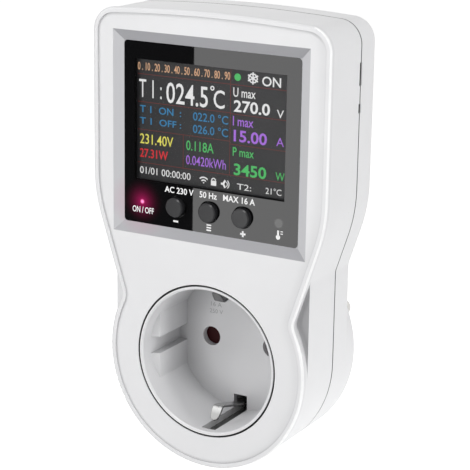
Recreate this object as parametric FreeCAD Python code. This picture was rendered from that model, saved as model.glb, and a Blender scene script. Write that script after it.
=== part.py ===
import FreeCAD, Part
import math, os

# Smart thermostat plug: a wall-socket adapter with a colour display, three keys and a socket.
# All sizes in mm.  X is right, Y runs from the front face back into the wall, Z is up.
# The origin is the middle of the plug face, on the axis shared by the socket and the plug.
# A "depth" is measured back from the flat front face of the front cover.

# Outer form
PLUG_FACE_DEPTH = 45.5
HALF_WIDTH = 35.0
CROWN_R = 420.0
CORNER_R = 6.5
SHOULDER_Z = 42.0
SHOULDER_SHARE = 0.3734
WAIST_LEAN = math.radians(18.1)
WAIST_R = 4.0
DRUM_R = 29.7
SEAM_DEPTH = 16.8
SEAM_GAP = 0.35
REAR_ROUND = 2.4
DRUM_CHAMFER = 1.2
WALL = 1.8
PLATE = 2.6

# Raised bead round the front plate, and the ledge behind it at the waist
BEAD_RISE = 0.5
BEAD_WIDTH = 1.4
BEAD_DEPTH = 1.1
BEAD_OVERHANG = 0.25
BEAD_ROUND = 0.6
LEDGE_DEPTH = 2.3
LEDGE_WALL = 1.6

# Tongue that joins the two housing shells
LIP = 1.0
TONGUE = 1.4
TONGUE_CLEARANCE = 0.1

# Two slots in the right side, on the seam, measured up from the shoulder
SLOT_HEIGHT = 1.3
LONG_SLOT_START = 33.4
LONG_SLOT = 6.0
SHORT_SLOT_START = 26.4
SHORT_SLOT = 2.4

# Sloped bezel and the glossy display window.  The heights build up from the bezel's lower edge:
# the keys, the screen above them, the upper border, and the crown of the body.
BEZEL_LOW_Z = 32.3
BEZEL_SIDE = 6.0
BEZEL_TOP = 6.7
BEZEL_SLOPE = 2.75
LENS_SINK = 1.15
LENS_THICKNESS = 1.3
LENS_RIM = 1.0
LENS_CORNER = 1.2
LENS_CLEARANCE = 0.1
LENS_ABOVE = 4.65
FILM = 0.15
FILM_ROOM = 0.3
SCREEN_SIDE = 3.65
SCREEN_HEIGHT = 32.4
SCREEN_X = -0.5
PANEL_BORDER = 2.1
PANEL_ROOM = 0.2
PANEL = 1.8
TRAY_WALL = 0.8
TRAY_LAP = 0.9
TRAY_BACK = 2.95
TRAY_FOOT_R = 1.0
TRAY_FOOT_EDGE = 2.0

# Keys and lamps
KEY_R = 2.6
KEY_GAP = 0.4
KEY_PITCH = 10.0
KEY_RISE = 8.6
KEY_PROUD = 1.5
KEY_FLANGE = 0.9
KEY_FLANGE_THICKNESS = 0.7
KEY_STEM_R = 1.4
KEY_TRAVEL = 0.6
KEY_CHAMFER = 0.3
SWITCH_SIDE = 6.0
SWITCH = 3.2
SWITCH_FLOOR = 0.4
PLUNGER_R = 1.7
PLUNGER_PROUD = 0.8
PLUNGER_FIT = 0.05
LAMP_X = 20.6
LAMP_R = 1.5
LAMP_DOME = 0.8
LAMP_FOOT = 0.4
LAMP_FOOT_HEIGHT = 1.2
LAMP_MASK = 0.3

# Circuit boards
BOARD = 1.2
DISPLAY_BOARD_DEPTH = 9.0
BOARD_BELOW_KEYS = 5.3
BOARD_MARGIN = 0.4
POWER_BOARD = 1.6
POWER_BOARD_LOW = 33.0
POWER_BOARD_TOP = 6.2
POWER_BOARD_SIDE = 2.9
BOARD_CORNER = 2.0
STANDOFF_EDGE = 3.4
STANDOFF = 2.0
STANDOFF_R = 2.2

# Case screws, one near each corner of the display block
POST_R = 2.6
POST_SIDE = 0.25
POST_TOP = 9.7
POST_RISE = 5.5
SPIGOT_R = 1.7
SPIGOT = 2.0
SLEEVE_R = 2.9
SCREW_R = 1.0
SCREW_FIT = 0.05
SCREW_HEAD_R = 2.2
SCREW_HEAD = 1.5
SCREW_HEAD_CHAMFER = 0.5
SCREW_HEAD_ROOM = 0.3
SCREW_SLOT = 2.4
SCREW_SLOT_WIDTH = 0.5
SCREW_SLOT_DEPTH = 0.8
SCREW_REACH = 3.0
SINK_DEPTH = 3.6
BOARD_SCREW_HEAD_R = 1.9
BOARD_SCREW_HEAD = 1.2

# Socket recess, to the dimensions of the round two-pin socket with side earth clips
RING_R = 21.15
RING_GAP = 0.55
RECESS_R = 19.8
RECESS_DEPTH = 19.5
RECESS_CHAMFER = 0.4
FLAT_HALF = 17.4
GROOVE_HALF = 2.4
PAD_START = 3.6
PAD_SLOPE = 1.6
PAD_BITE = 0.8
PIN_SPACING = 19.0
PIN_R = 2.4
PIN_LENGTH = 19.0
HOLE_R = 2.75
FLOOR = 2.0
SHELL_R = 22.6
SKIRT_BORE = 20.2
STOP_BORE = 18.9
EAR_X = 25.0
EAR_DEPTH = 9.0
EAR = 2.0
EAR_POST_R = 2.1
INSERT_SCREW_TIP = 4.1

# Shutter behind the recess floor
SHUTTER_GAP = 0.2
SHUTTER = 2.0
SHUTTER_R = 15.2
SHUTTER_SWING = math.radians(38.0)
HUB_R = 2.0
HUB_FIT = 0.05
WINDOW_ROOM = 0.2
SPRING_R = 3.3
SPRING_WIRE = 0.5
SPRING_BEND = 3.1
SPRING_END = 1.0
SPRING_GAP = 1.2
SPRING_RECESS = 0.8
SPRING_RECESS_R = 5.7
SPRING_RECESS_BORE = 2.4
BASE = 2.0

# Earth clips and live parts
CLIP_WIDTH = 3.4
CLIP = 0.6
CLIP_BEND = 0.9
CLIP_CURL = 0.65
CLIP_Z = 15.2
CLIP_KNEE_DEPTH = 7.8
CLIP_NOSE_DEPTH = 6.0
CLIP_NOSE_OUT = 2.6
CLIP_HOOK_OUT = 4.9
CLIP_HOOK_BACK = 1.4
CLIP_LEAD = 4.0
CLIP_LEAD_OUT = 0.9
CLIP_ARM_OUT = 2.1
CLIP_POCKET = 0.4
POCKET_Z = 21.6
POCKET_START = 2.2
POCKET_REACH = 1.7
POCKET_WALL = 1.5
POCKET_HOUSING = 1.6
BASE_ROOM = 0.2
EARTH_POST_R = 2.0
STRIP = 0.6
BUSBAR_WIDTH = 3.6
CONTACT_HALF = 3.2
CONTACT_ROOM = 2.5
CONTACT_PLATE = 3.4
LEAF = 12.0
LEAF_HALF = 2.6
LEAF_ROOT = 3.1
LEAF_PINCH = 2.55
LEAF_MOUTH = 3.2
LEAF_PINCH_AT = 7.2
LEAD_OUT = 5.4
LEAD_RISE = 21.2
BUSBAR_START = 3.2
BUSBAR_RISE = 6.2
BUSBAR_CLIMB = 23.6
BUSBAR_TURN = 3.0
BUSBAR_SHIFT = 0.4
BUSBAR_REACH = 2.0
COLLAR_R = 3.4
COLLAR = 1.4
PIN_SEAT_R = 2.9
PIN_TAIL_R = 2.0
PIN_TAIL = 4.6
PIN_TIP = 1.44
PIN_FIT = 0.05

# Round plug body at the back
PLUG_R = 18.4
PLUG_BORE = 16.2
PLUG_FLAT = 17.1
PLUG_GROOVE = 2.6
PLUG_GROOVE_DEPTH = 1.6
PLUG_SIDE_WALL = 3.0
PLUG_FACE = 2.5
PLUG_CHAMFER = 0.8
PLUG_CLIP_DEPTH = 33.4
PLUG_CLIP_SLOT = 1.0
PLUG_CLIP_END = 1.6
PLUG_CLIP_BULGE = 9.0
PLUG_CLIP_TIP_IN = 0.9
PLUG_CLIP_ROOT_IN = 1.1

# Parts on the power board: width, height and thickness, and the place of the middle as x and
# the distance above the board's lower edge
PART_CORNER = 0.5
RELAY = (19.0, 15.4, 9.4)
RELAY_AT = (-8.0, 14.6)
RELAY_ROOM = 1.4
CORE = (15.0, 6.0, 9.0)
BOBBIN = (10.0, 15.0, 7.6)
TRANSFORMER_AT = (11.0, 38.0)
CAPACITOR_R = 4.6
CAPACITOR_HEIGHT = 7.5
CAPACITOR_AT = (-12.0, 33.0)
VARISTOR_R = 3.6
VARISTOR = 3.4
VARISTOR_DEPTH = 4.6
VARISTOR_AT = (4.0, 26.0)
VARISTOR_FOOT = (0.8, 2.6, 1.6)
FUSE_R = 2.2
FUSE_LENGTH = 9.0
FUSE_CAP_R = 2.6
FUSE_CAP = 2.4
FUSE_AT = (6.0, 17.0)
SHUNT = 1.4
SHUNT_HEIGHT = 4.6
SHUNT_X = (4.0, 14.0)
SHUNT_RISE = 9.4

# Parts on the back of the display board, placed as x and the distance below the crown
RADIO = (16.0, 20.0, 0.8)
RADIO_AT = (-14.0, 17.2)
RADIO_CAN = (14.0, 14.0, 2.2)
RADIO_CAN_DROP = 2.0
SOUNDER_R = 4.5
SOUNDER = 4.5
SOUNDER_PORT_R = 0.8
SOUNDER_PORT = 1.5
SOUNDER_AT = (24.5, 25.2)
CELL_R = 6.2
CELL = 2.2
CELL_AT = (21.0, 38.7)
HEADER = (10.2, 2.5, 2.5)
HEADER_AT = (-0.9, 7.75)
HEADER_PIN = 0.6
HEADER_PITCH = 2.54
HEADER_PINS = 4
SENSOR_R = 1.2
SENSOR_IN = 2.4
SENSOR_WIRE_R = 0.25
SENSOR_PITCH = 1.2

# Small allowances: seating between touching pieces, and how far a cut runs past a surface
SEAT = 0.05
PAST = 1.0


def y_at(depth):
    return depth - PLUG_FACE_DEPTH


def box(x0, x1, d0, d1, z0, z1):
    """A block between two x, two depth and two z values."""
    corner = FreeCAD.Vector(x0, y_at(d0), z0)
    return Part.makeBox(x1 - x0, d1 - d0, z1 - z0, corner)


def rod(x, z, radius, d0, d1):
    """A round rod that runs straight back."""
    start = FreeCAD.Vector(x, y_at(d0), z)
    return Part.makeCylinder(radius, d1 - d0, start, FreeCAD.Vector(0, 1, 0))


def tube(x, z, outer, inner, d0, d1):
    return rod(x, z, outer, d0, d1).cut(rod(x, z, inner, d0, d1))


def flipped(shape):
    """The same shape on the other side of the middle plane."""
    return shape.mirror(FreeCAD.Vector(0, 0, 0), FreeCAD.Vector(1, 0, 0))


def both_sides(shape):
    return shape.fuse(flipped(shape))


def flat_edges(shape, depth):
    """Edges that lie in the plane at this depth."""
    found = []
    for edge in shape.Edges:
        bounds = edge.BoundBox
        if abs(bounds.YMin - y_at(depth)) < 1e-4 and abs(bounds.YMax - y_at(depth)) < 1e-4:
            found.append(edge)
    return found


def round_upright(shape, x, z, radius):
    """Round the straight edges that run back from (x, z) and from its mirror image."""
    found = []
    for edge in shape.Edges:
        bounds = edge.BoundBox
        straight = bounds.XLength < 1e-4 and bounds.ZLength < 1e-4
        if straight and abs(abs(bounds.XMin) - x) < 1e-3 and abs(bounds.ZMin - z) < 1e-3:
            found.append(edge)
    return shape.makeFillet(radius, found)


def save(node, *shapes):
    solids = []
    for shape in shapes:
        solids.extend(shape.removeSplitter().Solids)
    whole = solids[0] if len(solids) == 1 else Part.makeCompound(solids)
    whole.exportStep("parts/" + node + ".step")


def waist_corner(inset):
    """Where the sloping side of the front plate meets the round drum."""
    lean = math.tan(WAIST_LEAN)
    start = HALF_WIDTH - SHOULDER_Z * lean - inset / math.cos(WAIST_LEAN)
    radius = DRUM_R - inset
    square = 1 + lean * lean
    root = math.sqrt(radius * radius * square - start * start)
    z = (root - start * lean) / square
    return start + lean * z, z


def side_corner(inset):
    """Where the sloping side of the body turns straight down towards the drum."""
    lean = math.tan(WAIST_LEAN)
    across = HALF_WIDTH - DRUM_R + inset - inset / math.cos(WAIST_LEAN)
    return DRUM_R - inset, SHOULDER_Z - across / lean


def outline(inset, narrow):
    """Corner points of the outline on the right side, from the drum up to the crown."""
    half = HALF_WIDTH - inset
    shoulder = SHOULDER_Z + inset * math.tan(WAIST_LEAN / 2)
    crown = math.sqrt((CROWN_R - inset) ** 2 - half ** 2) + TOP_Z - CROWN_R
    waist = waist_corner(inset) if narrow else side_corner(inset)
    return waist, (half, shoulder), (half, crown)


def form(inset, narrow, d0, d1):
    """The body outline, drawn in by the inset and run back from d0 to d1."""
    waist, shoulder, corner = outline(inset, narrow)
    right = [waist, shoulder, corner]
    if not narrow:
        right.insert(0, (DRUM_R - inset, 0.0))
    points = [FreeCAD.Vector(x, y_at(d0), z) for x, z in right]
    mirrored = [FreeCAD.Vector(-p.x, p.y, p.z) for p in reversed(points)]
    low = FreeCAD.Vector(0, y_at(d0), inset - DRUM_R)
    high = FreeCAD.Vector(0, y_at(d0), TOP_Z - inset)
    edges = [Part.Arc(mirrored[-1], low, points[0]).toShape()]
    for first, second in zip(points, points[1:]):
        edges.append(Part.makeLine(first, second))
    edges.append(Part.Arc(points[-1], high, mirrored[0]).toShape())
    for first, second in zip(mirrored, mirrored[1:]):
        edges.append(Part.makeLine(first, second))
    solid = Part.Face(Part.Wire(edges)).extrude(FreeCAD.Vector(0, d1 - d0, 0))
    solid = round_upright(solid, corner[0], corner[1], CORNER_R - inset)
    solid = round_upright(solid, shoulder[0], shoulder[1], SHOULDER_R - inset)
    return round_upright(solid, waist[0], waist[1], WAIST_R + inset)


def rectangle(width, height, x, z, depth):
    """A closed rectangular wire that faces the front."""
    points = []
    for sx, sz in ((-1, -1), (1, -1), (1, 1), (-1, 1), (-1, -1)):
        points.append(FreeCAD.Vector(x + sx * width / 2, y_at(depth), z + sz * height / 2))
    return Part.makePolygon(points)


def sheet(width, height, x, z, d0, d1, radius):
    """A flat block with its four upright corners rounded."""
    block = Part.Face(rectangle(width, height, x, z, d0)).extrude(FreeCAD.Vector(0, d1 - d0, 0))
    corners = [edge for edge in block.Edges if edge.BoundBox.YLength > (d1 - d0) / 2]
    return block.makeFillet(radius, corners)


def bent_line(points, bend, shift):
    """Edges of a path with rounded bends, moved to its left by the shift."""
    heads = [(b - a).normalize() for a, b in zip(points, points[1:])]
    lefts = [FreeCAD.Vector(-h.y, h.x, 0) for h in heads]
    edges = []
    last = points[0] + lefts[0] * shift
    for here, h0, h1, n0, n1 in zip(points[1:], heads, heads[1:], lefts, lefts[1:]):
        corner = here + (n0 + n1) * (shift / (1 + n0.dot(n1)))
        turn = math.copysign(1.0, h0.cross(h1).z)
        radius = bend - shift * turn
        reach = radius * math.tan(h0.getAngle(h1) / 2)
        start = corner - h0 * reach
        end = corner + h1 * reach
        middle = corner + (n0 + n1).normalize() * turn * (reach / math.sin(h0.getAngle(h1) / 2) - radius)
        edges.append(Part.makeLine(last, start))
        edges.append(Part.Arc(start, middle, end).toShape())
        last = end
    edges.append(Part.makeLine(last, points[-1] + lefts[-1] * shift))
    return edges


def ribbon(points, thickness, bend, width):
    """A flat bent strip: the path lies in the x-y plane and the width runs up from it."""
    left = bent_line(points, bend, thickness / 2)
    right = bent_line(points, bend, -thickness / 2)
    edges = left + right
    for end in (0, -1):
        edges.append(Part.makeLine(left[end].Vertexes[end].Point, right[end].Vertexes[end].Point))
    profile = Part.Face(Part.Wire(Part.sortEdges(edges)[0]))
    return profile.extrude(FreeCAD.Vector(0, 0, width))


def strip(path, thickness, bend, low, high, upright=True):
    """A bent metal strip.  The path is (depth, z) and the width runs in x from low to high;
    with upright off, the path is (depth, x) and the width runs in z."""
    base = low if upright else -high
    solid = ribbon([FreeCAD.Vector(y_at(d), u, base) for d, u in path], thickness, bend, high - low)
    if upright:
        turned = FreeCAD.Matrix(0, 0, 1, 0, 1, 0, 0, 0, 0, 1, 0, 0)
    else:
        turned = FreeCAD.Matrix(0, 1, 0, 0, 1, 0, 0, 0, 0, 0, -1, 0)
    return solid.transformed(turned)


# Values that follow from the sizes above
BODY_INSET = BEAD_OVERHANG
CAVITY_INSET = BEAD_OVERHANG + WALL
FRONT_EDGE = SEAM_DEPTH - SEAM_GAP / 2
REAR_EDGE = SEAM_DEPTH + SEAM_GAP / 2
SIDE_LENGTH = (HALF_WIDTH - DRUM_R) / math.sin(WAIST_LEAN)
SHOULDER_R = SHOULDER_SHARE * SIDE_LENGTH / math.tan(WAIST_LEAN / 2)
BEZEL_WIDTH = 2 * (HALF_WIDTH - BEZEL_SIDE)
LENS_WIDTH = BEZEL_WIDTH - 2 * BEZEL_SLOPE
LENS_POCKET = 2 * LENS_RIM + 2 * LENS_CLEARANCE
LENS_LOW = BEZEL_LOW_Z + BEZEL_SLOPE
KEY_Z = BEZEL_LOW_Z + KEY_RISE
PANEL_LOW = KEY_Z + KEY_R + KEY_FLANGE + PANEL_ROOM
SCREEN_LOW = PANEL_LOW + PANEL_BORDER
SCREEN_Z = SCREEN_LOW + SCREEN_HEIGHT / 2
SCREEN_WIDTH = LENS_WIDTH - 2 * SCREEN_SIDE
LENS_HEIGHT = SCREEN_LOW + SCREEN_HEIGHT + LENS_ABOVE - LENS_LOW
BEZEL_HEIGHT = LENS_HEIGHT + 2 * BEZEL_SLOPE
BEZEL_Z = BEZEL_LOW_Z + BEZEL_HEIGHT / 2
TOP_Z = BEZEL_LOW_Z + BEZEL_HEIGHT + BEZEL_TOP
FILM_DEPTH = LENS_SINK + LENS_THICKNESS
FILM_BACK = FILM_DEPTH + FILM
PANEL_DEPTH = FILM_BACK + SEAT
PANEL_WIDTH = SCREEN_WIDTH + 2 * PANEL_BORDER
PANEL_HEIGHT = SCREEN_HEIGHT + 2 * PANEL_BORDER
TRAY_DEPTH = PANEL_DEPTH + PANEL + TRAY_BACK
SWITCH_DEPTH = DISPLAY_BOARD_DEPTH - SWITCH
PLUNGER_DEPTH = SWITCH_DEPTH - PLUNGER_PROUD
KEYS = (("minus", -KEY_PITCH), ("menu", 0.0), ("plus", KEY_PITCH))
BOARD_BACK = DISPLAY_BOARD_DEPTH + BOARD
POWER_BOARD_DEPTH = BOARD_BACK + RELAY[2] + RELAY_ROOM
BODY_DEPTH = POWER_BOARD_DEPTH + POWER_BOARD + STANDOFF + WALL
FLOOR_BACK = RECESS_DEPTH + FLOOR
SHUTTER_DEPTH = FLOOR_BACK + SHUTTER_GAP
STOP_DEPTH = SHUTTER_DEPTH + SHUTTER + 2 * SHUTTER_GAP
BASE_BACK = STOP_DEPTH + BASE
DRUM_DEPTH = BASE_BACK + STRIP + CONTACT_ROOM + WALL
PIN_X = PIN_SPACING / 2
POST_X = HALF_WIDTH - CAVITY_INSET - SLEEVE_R - POST_SIDE
POST_TOP_Z = TOP_Z - POST_TOP
POST_LOW_Z = SHOULDER_Z + POST_RISE
POSTS = ((POST_X, POST_TOP_Z), (POST_X, POST_LOW_Z), (-POST_X, POST_TOP_Z), (-POST_X, POST_LOW_Z))
DISPLAY_BOARD_LOW = KEY_Z - BOARD_BELOW_KEYS
POWER_BOARD_HIGH = TOP_Z - POWER_BOARD_TOP
POWER_BOARD_HALF = POST_X - SLEEVE_R - POWER_BOARD_SIDE
STANDOFF_X = POWER_BOARD_HALF - STANDOFF_EDGE
STANDOFF_LOW = POWER_BOARD_LOW + STANDOFF_EDGE
STANDOFF_HIGH = POWER_BOARD_HIGH - STANDOFF_EDGE
STANDOFFS = ((STANDOFF_X, STANDOFF_LOW), (STANDOFF_X, STANDOFF_HIGH),
             (-STANDOFF_X, STANDOFF_LOW), (-STANDOFF_X, STANDOFF_HIGH))
SCREW_SEAT = BODY_DEPTH - SINK_DEPTH
SCREW_TIP = DISPLAY_BOARD_DEPTH - SCREW_REACH
LONG_SLOT_Z = SHOULDER_Z + LONG_SLOT_START
SHORT_SLOT_Z = SHOULDER_Z + SHORT_SLOT_START


def side_slots():
    slots = []
    front = SEAM_DEPTH - SLOT_HEIGHT / 2
    for low, length in ((LONG_SLOT_Z, LONG_SLOT), (SHORT_SLOT_Z, SHORT_SLOT)):
        outer = HALF_WIDTH + PAST
        inner = HALF_WIDTH - CAVITY_INSET - PAST
        slots.append(box(inner, outer, front, front + SLOT_HEIGHT, low, low + length))
    return slots


def beaded_plate():
    """The flat front plate with the raised bead that runs round its edge."""
    bead = form(0.0, True, -BEAD_RISE, BEAD_DEPTH)
    bead = bead.makeFillet(BEAD_ROUND, flat_edges(bead, -BEAD_RISE))
    bead = bead.cut(form(BEAD_WIDTH, True, -BEAD_RISE - PAST, 0.0))
    return bead.fuse(form(BODY_INSET, True, BEAD_DEPTH, LEDGE_DEPTH))


def bezel_opening():
    """Four shallow slopes that meet in mitred corners, and the pocket for the window."""
    grow = 2 * BEZEL_SLOPE * PAST / LENS_SINK
    wide = rectangle(BEZEL_WIDTH + grow, BEZEL_HEIGHT + grow, 0, BEZEL_Z, -PAST)
    tight = rectangle(LENS_WIDTH, LENS_HEIGHT, 0, BEZEL_Z, LENS_SINK)
    slopes = Part.makeLoft([wide, tight], True, True)
    pocket = sheet(LENS_WIDTH + LENS_POCKET, LENS_HEIGHT + LENS_POCKET, 0, BEZEL_Z,
                   LENS_SINK, PLATE + PAST, LENS_CORNER)
    return slopes, pocket


def front_posts():
    posts = []
    for x, z in POSTS:
        post = rod(x, z, POST_R, PLATE - SEAT, DISPLAY_BOARD_DEPTH)
        posts.append(post.fuse(rod(x, z, SPIGOT_R, PLATE, BOARD_BACK + SPIGOT)))
    for x in (EAR_X, -EAR_X):
        posts.append(rod(x, 0, EAR_POST_R, PLATE - SEAT, EAR_DEPTH))
    return posts


def front_pilots():
    pilots = [rod(x, z, SCREW_R + SCREW_FIT, PLATE + PAST, BOARD_BACK + SPIGOT + PAST) for x, z in POSTS]
    for x in (EAR_X, -EAR_X):
        pilots.append(rod(x, 0, SCREW_R + SCREW_FIT, PLATE, EAR_DEPTH + PAST))
    return pilots


def front_cover():
    cover = beaded_plate().fuse(form(BODY_INSET, False, LEDGE_DEPTH, FRONT_EDGE))
    hollow = form(CAVITY_INSET, False, LEDGE_DEPTH + LEDGE_WALL, FRONT_EDGE + PAST)
    cover = cover.cut(hollow).cut(form(CAVITY_INSET, True, PLATE, LEDGE_DEPTH + LEDGE_WALL + PAST))
    rabbet = form(BODY_INSET + LIP, False, FRONT_EDGE - TONGUE - 2 * TONGUE_CLEARANCE, FRONT_EDGE + PAST)
    cover = cover.cut(rabbet)
    cover = cover.fuse(front_posts())
    cover = cover.cut(front_pilots()).cut(bezel_opening())
    cover = cover.cut(rod(0, 0, RING_R, -PAST, PLATE + PAST))
    return cover.cut(side_slots())


def plug_body():
    """The round plug body with flats and guide grooves left and right."""
    body = rod(0, 0, PLUG_R, DRUM_DEPTH - WALL / 2, PLUG_FACE_DEPTH)
    body = body.makeChamfer(PLUG_CHAMFER, flat_edges(body, PLUG_FACE_DEPTH))
    back = PLUG_FACE_DEPTH + PAST
    flat = box(PLUG_FLAT, PLUG_R + PAST, DRUM_DEPTH, back, -PLUG_R, PLUG_R)
    groove = box(PLUG_FLAT - PLUG_GROOVE_DEPTH, PLUG_R, DRUM_DEPTH, back, -PLUG_GROOVE, PLUG_GROOVE)
    return body.cut(both_sides(flat.fuse(groove)))


def rear_hollows():
    """The open spaces inside the rear housing."""
    upper = form(CAVITY_INSET, False, REAR_EDGE - TONGUE - PAST, BODY_DEPTH - WALL)
    drum = rod(0, 0, DRUM_R - CAVITY_INSET, REAR_EDGE, DRUM_DEPTH - WALL)
    half = PLUG_FLAT - PLUG_SIDE_WALL
    plug = box(-half, half, BODY_DEPTH, PLUG_FACE_DEPTH - PLUG_FACE, -PLUG_BORE, PLUG_BORE)
    return upper.fuse(drum).fuse(plug.common(rod(0, 0, PLUG_BORE, BODY_DEPTH, PLUG_FACE_DEPTH)))


def rear_sleeves():
    """Tubes that press on the display board and take the case screws."""
    sleeves = []
    for x, z in POSTS:
        sleeves.append(rod(x, z, SLEEVE_R, BOARD_BACK + SEAT, BODY_DEPTH - WALL + SEAT))
    for x, z in STANDOFFS:
        sleeves.append(rod(x, z, STANDOFF_R, POWER_BOARD_DEPTH + POWER_BOARD, BODY_DEPTH - WALL + SEAT))
    return sleeves


def rear_bores():
    bores = []
    for x, z in POSTS:
        bores.append(rod(x, z, SPIGOT_R + TONGUE_CLEARANCE, BOARD_BACK, BOARD_BACK + SPIGOT + SEAT))
        bores.append(rod(x, z, SCREW_R + SCREW_FIT, BOARD_BACK, BODY_DEPTH))
        bores.append(rod(x, z, SCREW_HEAD_R + SCREW_HEAD_ROOM, SCREW_SEAT, BODY_DEPTH + PAST))
    for x, z in STANDOFFS:
        bores.append(rod(x, z, SCREW_R + SCREW_FIT, POWER_BOARD_DEPTH, BODY_DEPTH - WALL))
    inside = PLUG_FACE_DEPTH - PLUG_FACE
    for x in (PIN_X, -PIN_X):
        bores.append(rod(x, 0, PIN_SEAT_R + PIN_FIT, inside - PAST, PLUG_FACE_DEPTH + PAST))
    half = CLIP_WIDTH / 2 + CLIP_POCKET
    start = PLUG_CLIP_DEPTH - PLUG_CLIP_SLOT
    for side in (1, -1):
        low, high = sorted((side * (PLUG_BORE - PAST), side * (PLUG_R + PAST)))
        bores.append(box(-half, half, start, PLUG_FACE_DEPTH - PLUG_CLIP_SLOT, low, high))
    return bores


def rear_housing():
    body = form(BODY_INSET, False, REAR_EDGE, BODY_DEPTH)
    body = body.makeFillet(REAR_ROUND, flat_edges(body, BODY_DEPTH))
    drum = rod(0, 0, DRUM_R - BODY_INSET, BODY_DEPTH - 4 * REAR_ROUND / 3, DRUM_DEPTH)
    drum = drum.makeChamfer(DRUM_CHAMFER, flat_edges(drum, DRUM_DEPTH))
    tongue = form(BODY_INSET + LIP + TONGUE_CLEARANCE, False, FRONT_EDGE - TONGUE, REAR_EDGE + SEAT)
    shell = body.fuse(drum).fuse(tongue).fuse(plug_body())
    shell = shell.cut(rear_hollows()).fuse(rear_sleeves())
    return shell.cut(rear_bores()).cut(side_slots())


def display_lens():
    """The window: a thin plate with three round holes for the keys."""
    lens = sheet(LENS_WIDTH + 2 * LENS_RIM, LENS_HEIGHT + 2 * LENS_RIM, 0, BEZEL_Z,
                 LENS_SINK, FILM_DEPTH, LENS_CORNER)
    for name, x in KEYS:
        lens = lens.cut(rod(x, KEY_Z, KEY_R + KEY_GAP, 0, FILM_DEPTH + PAST))
    return lens


def window_film():
    """The printed black film behind the window, open in front of the screen and the lamps."""
    film = sheet(LENS_WIDTH + 2 * LENS_RIM, LENS_HEIGHT + 2 * LENS_RIM, 0, BEZEL_Z,
                 FILM_DEPTH, FILM_BACK, LENS_CORNER)
    half = SCREEN_WIDTH / 2 + FILM_ROOM
    film = film.cut(box(SCREEN_X - half, SCREEN_X + half, 0, FILM_BACK + PAST,
                        SCREEN_LOW - FILM_ROOM, SCREEN_LOW + SCREEN_HEIGHT + FILM_ROOM))
    for name, x in KEYS:
        film = film.cut(rod(x, KEY_Z, KEY_R + KEY_GAP, 0, FILM_BACK + PAST))
    for x in (LAMP_X, -LAMP_X):
        film = film.cut(rod(x, KEY_Z, LAMP_R - LAMP_MASK, 0, FILM_BACK + PAST))
    return film


def lcd_panel():
    return box(SCREEN_X - PANEL_WIDTH / 2, SCREEN_X + PANEL_WIDTH / 2, PANEL_DEPTH, PANEL_DEPTH + PANEL,
               PANEL_LOW, PANEL_LOW + PANEL_HEIGHT)


def screen_tray():
    """The back light tray that carries the screen, on four feet."""
    left = SCREEN_X - PANEL_WIDTH / 2
    right = SCREEN_X + PANEL_WIDTH / 2
    top = PANEL_LOW + PANEL_HEIGHT
    tray = box(left - TRAY_WALL, right + TRAY_WALL, PANEL_DEPTH + TRAY_LAP, TRAY_DEPTH,
               PANEL_LOW, top + TRAY_WALL)
    tray = tray.cut(box(left - SEAT, right + SEAT, 0, PANEL_DEPTH + PANEL, PANEL_LOW - PAST, top + SEAT))
    for x in (left + TRAY_FOOT_EDGE, right - TRAY_FOOT_EDGE):
        for z in (PANEL_LOW + TRAY_FOOT_EDGE, top - TRAY_FOOT_EDGE):
            tray = tray.fuse(rod(x, z, TRAY_FOOT_R, TRAY_DEPTH - SEAT, DISPLAY_BOARD_DEPTH))
    return tray


def display_board():
    board = form(CAVITY_INSET + BOARD_MARGIN, False, DISPLAY_BOARD_DEPTH, BOARD_BACK)
    board = board.common(box(-HALF_WIDTH, HALF_WIDTH, 0, BODY_DEPTH, DISPLAY_BOARD_LOW, TOP_Z))
    for x, z in POSTS:
        board = board.cut(rod(x, z, SPIGOT_R + TONGUE_CLEARANCE, 0, BODY_DEPTH))
    return board


def key(x):
    """A round key cap with a retaining flange and a stem to its switch."""
    top = LENS_SINK - KEY_PROUD
    flange = FILM_BACK + SEAT
    cap = rod(x, KEY_Z, KEY_R, top, flange + SEAT)
    cap = cap.makeChamfer(KEY_CHAMFER, flat_edges(cap, top))
    cap = cap.fuse(rod(x, KEY_Z, KEY_R + KEY_FLANGE, flange, flange + KEY_FLANGE_THICKNESS))
    return cap.fuse(rod(x, KEY_Z, KEY_STEM_R, flange, PLUNGER_DEPTH))


def plunger(x):
    return rod(x, KEY_Z, PLUNGER_R, PLUNGER_DEPTH, DISPLAY_BOARD_DEPTH - SWITCH_FLOOR - 2 * KEY_TRAVEL)


def key_switch(x):
    half = SWITCH_SIDE / 2
    body = box(x - half, x + half, SWITCH_DEPTH, DISPLAY_BOARD_DEPTH, KEY_Z - half, KEY_Z + half)
    return body.cut(rod(x, KEY_Z, PLUNGER_R + PLUNGER_FIT, 0, DISPLAY_BOARD_DEPTH - SWITCH_FLOOR))


def lamp(x):
    """A round lamp that stands on the display board with its dome behind the window."""
    top = FILM_BACK + SEAT
    body = rod(x, KEY_Z, LAMP_R, top, DISPLAY_BOARD_DEPTH)
    body = body.makeChamfer(LAMP_DOME, flat_edges(body, top))
    foot = rod(x, KEY_Z, LAMP_R + LAMP_FOOT, DISPLAY_BOARD_DEPTH - LAMP_FOOT_HEIGHT, DISPLAY_BOARD_DEPTH)
    return body.fuse(foot)


def guide_pad():
    """One of the four flat pads inside the recess, with its sloping front end."""
    reach = RECESS_R + PAD_BITE
    rise = PAD_START + PAD_SLOPE
    end = RECESS_DEPTH + FLOOR / 2
    points = [(reach, PAD_START), (FLAT_HALF, rise), (FLAT_HALF, end), (reach, end),
              (reach, PAD_START)]
    wire = Part.makePolygon([FreeCAD.Vector(x, y_at(d), GROOVE_HALF) for x, d in points])
    height = math.sqrt(reach ** 2 - FLAT_HALF ** 2) - GROOVE_HALF
    pad = Part.Face(wire).extrude(FreeCAD.Vector(0, 0, height))
    return pad.common(rod(0, 0, (RECESS_R + RING_R - RING_GAP) / 2, 0, FLOOR_BACK))


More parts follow.
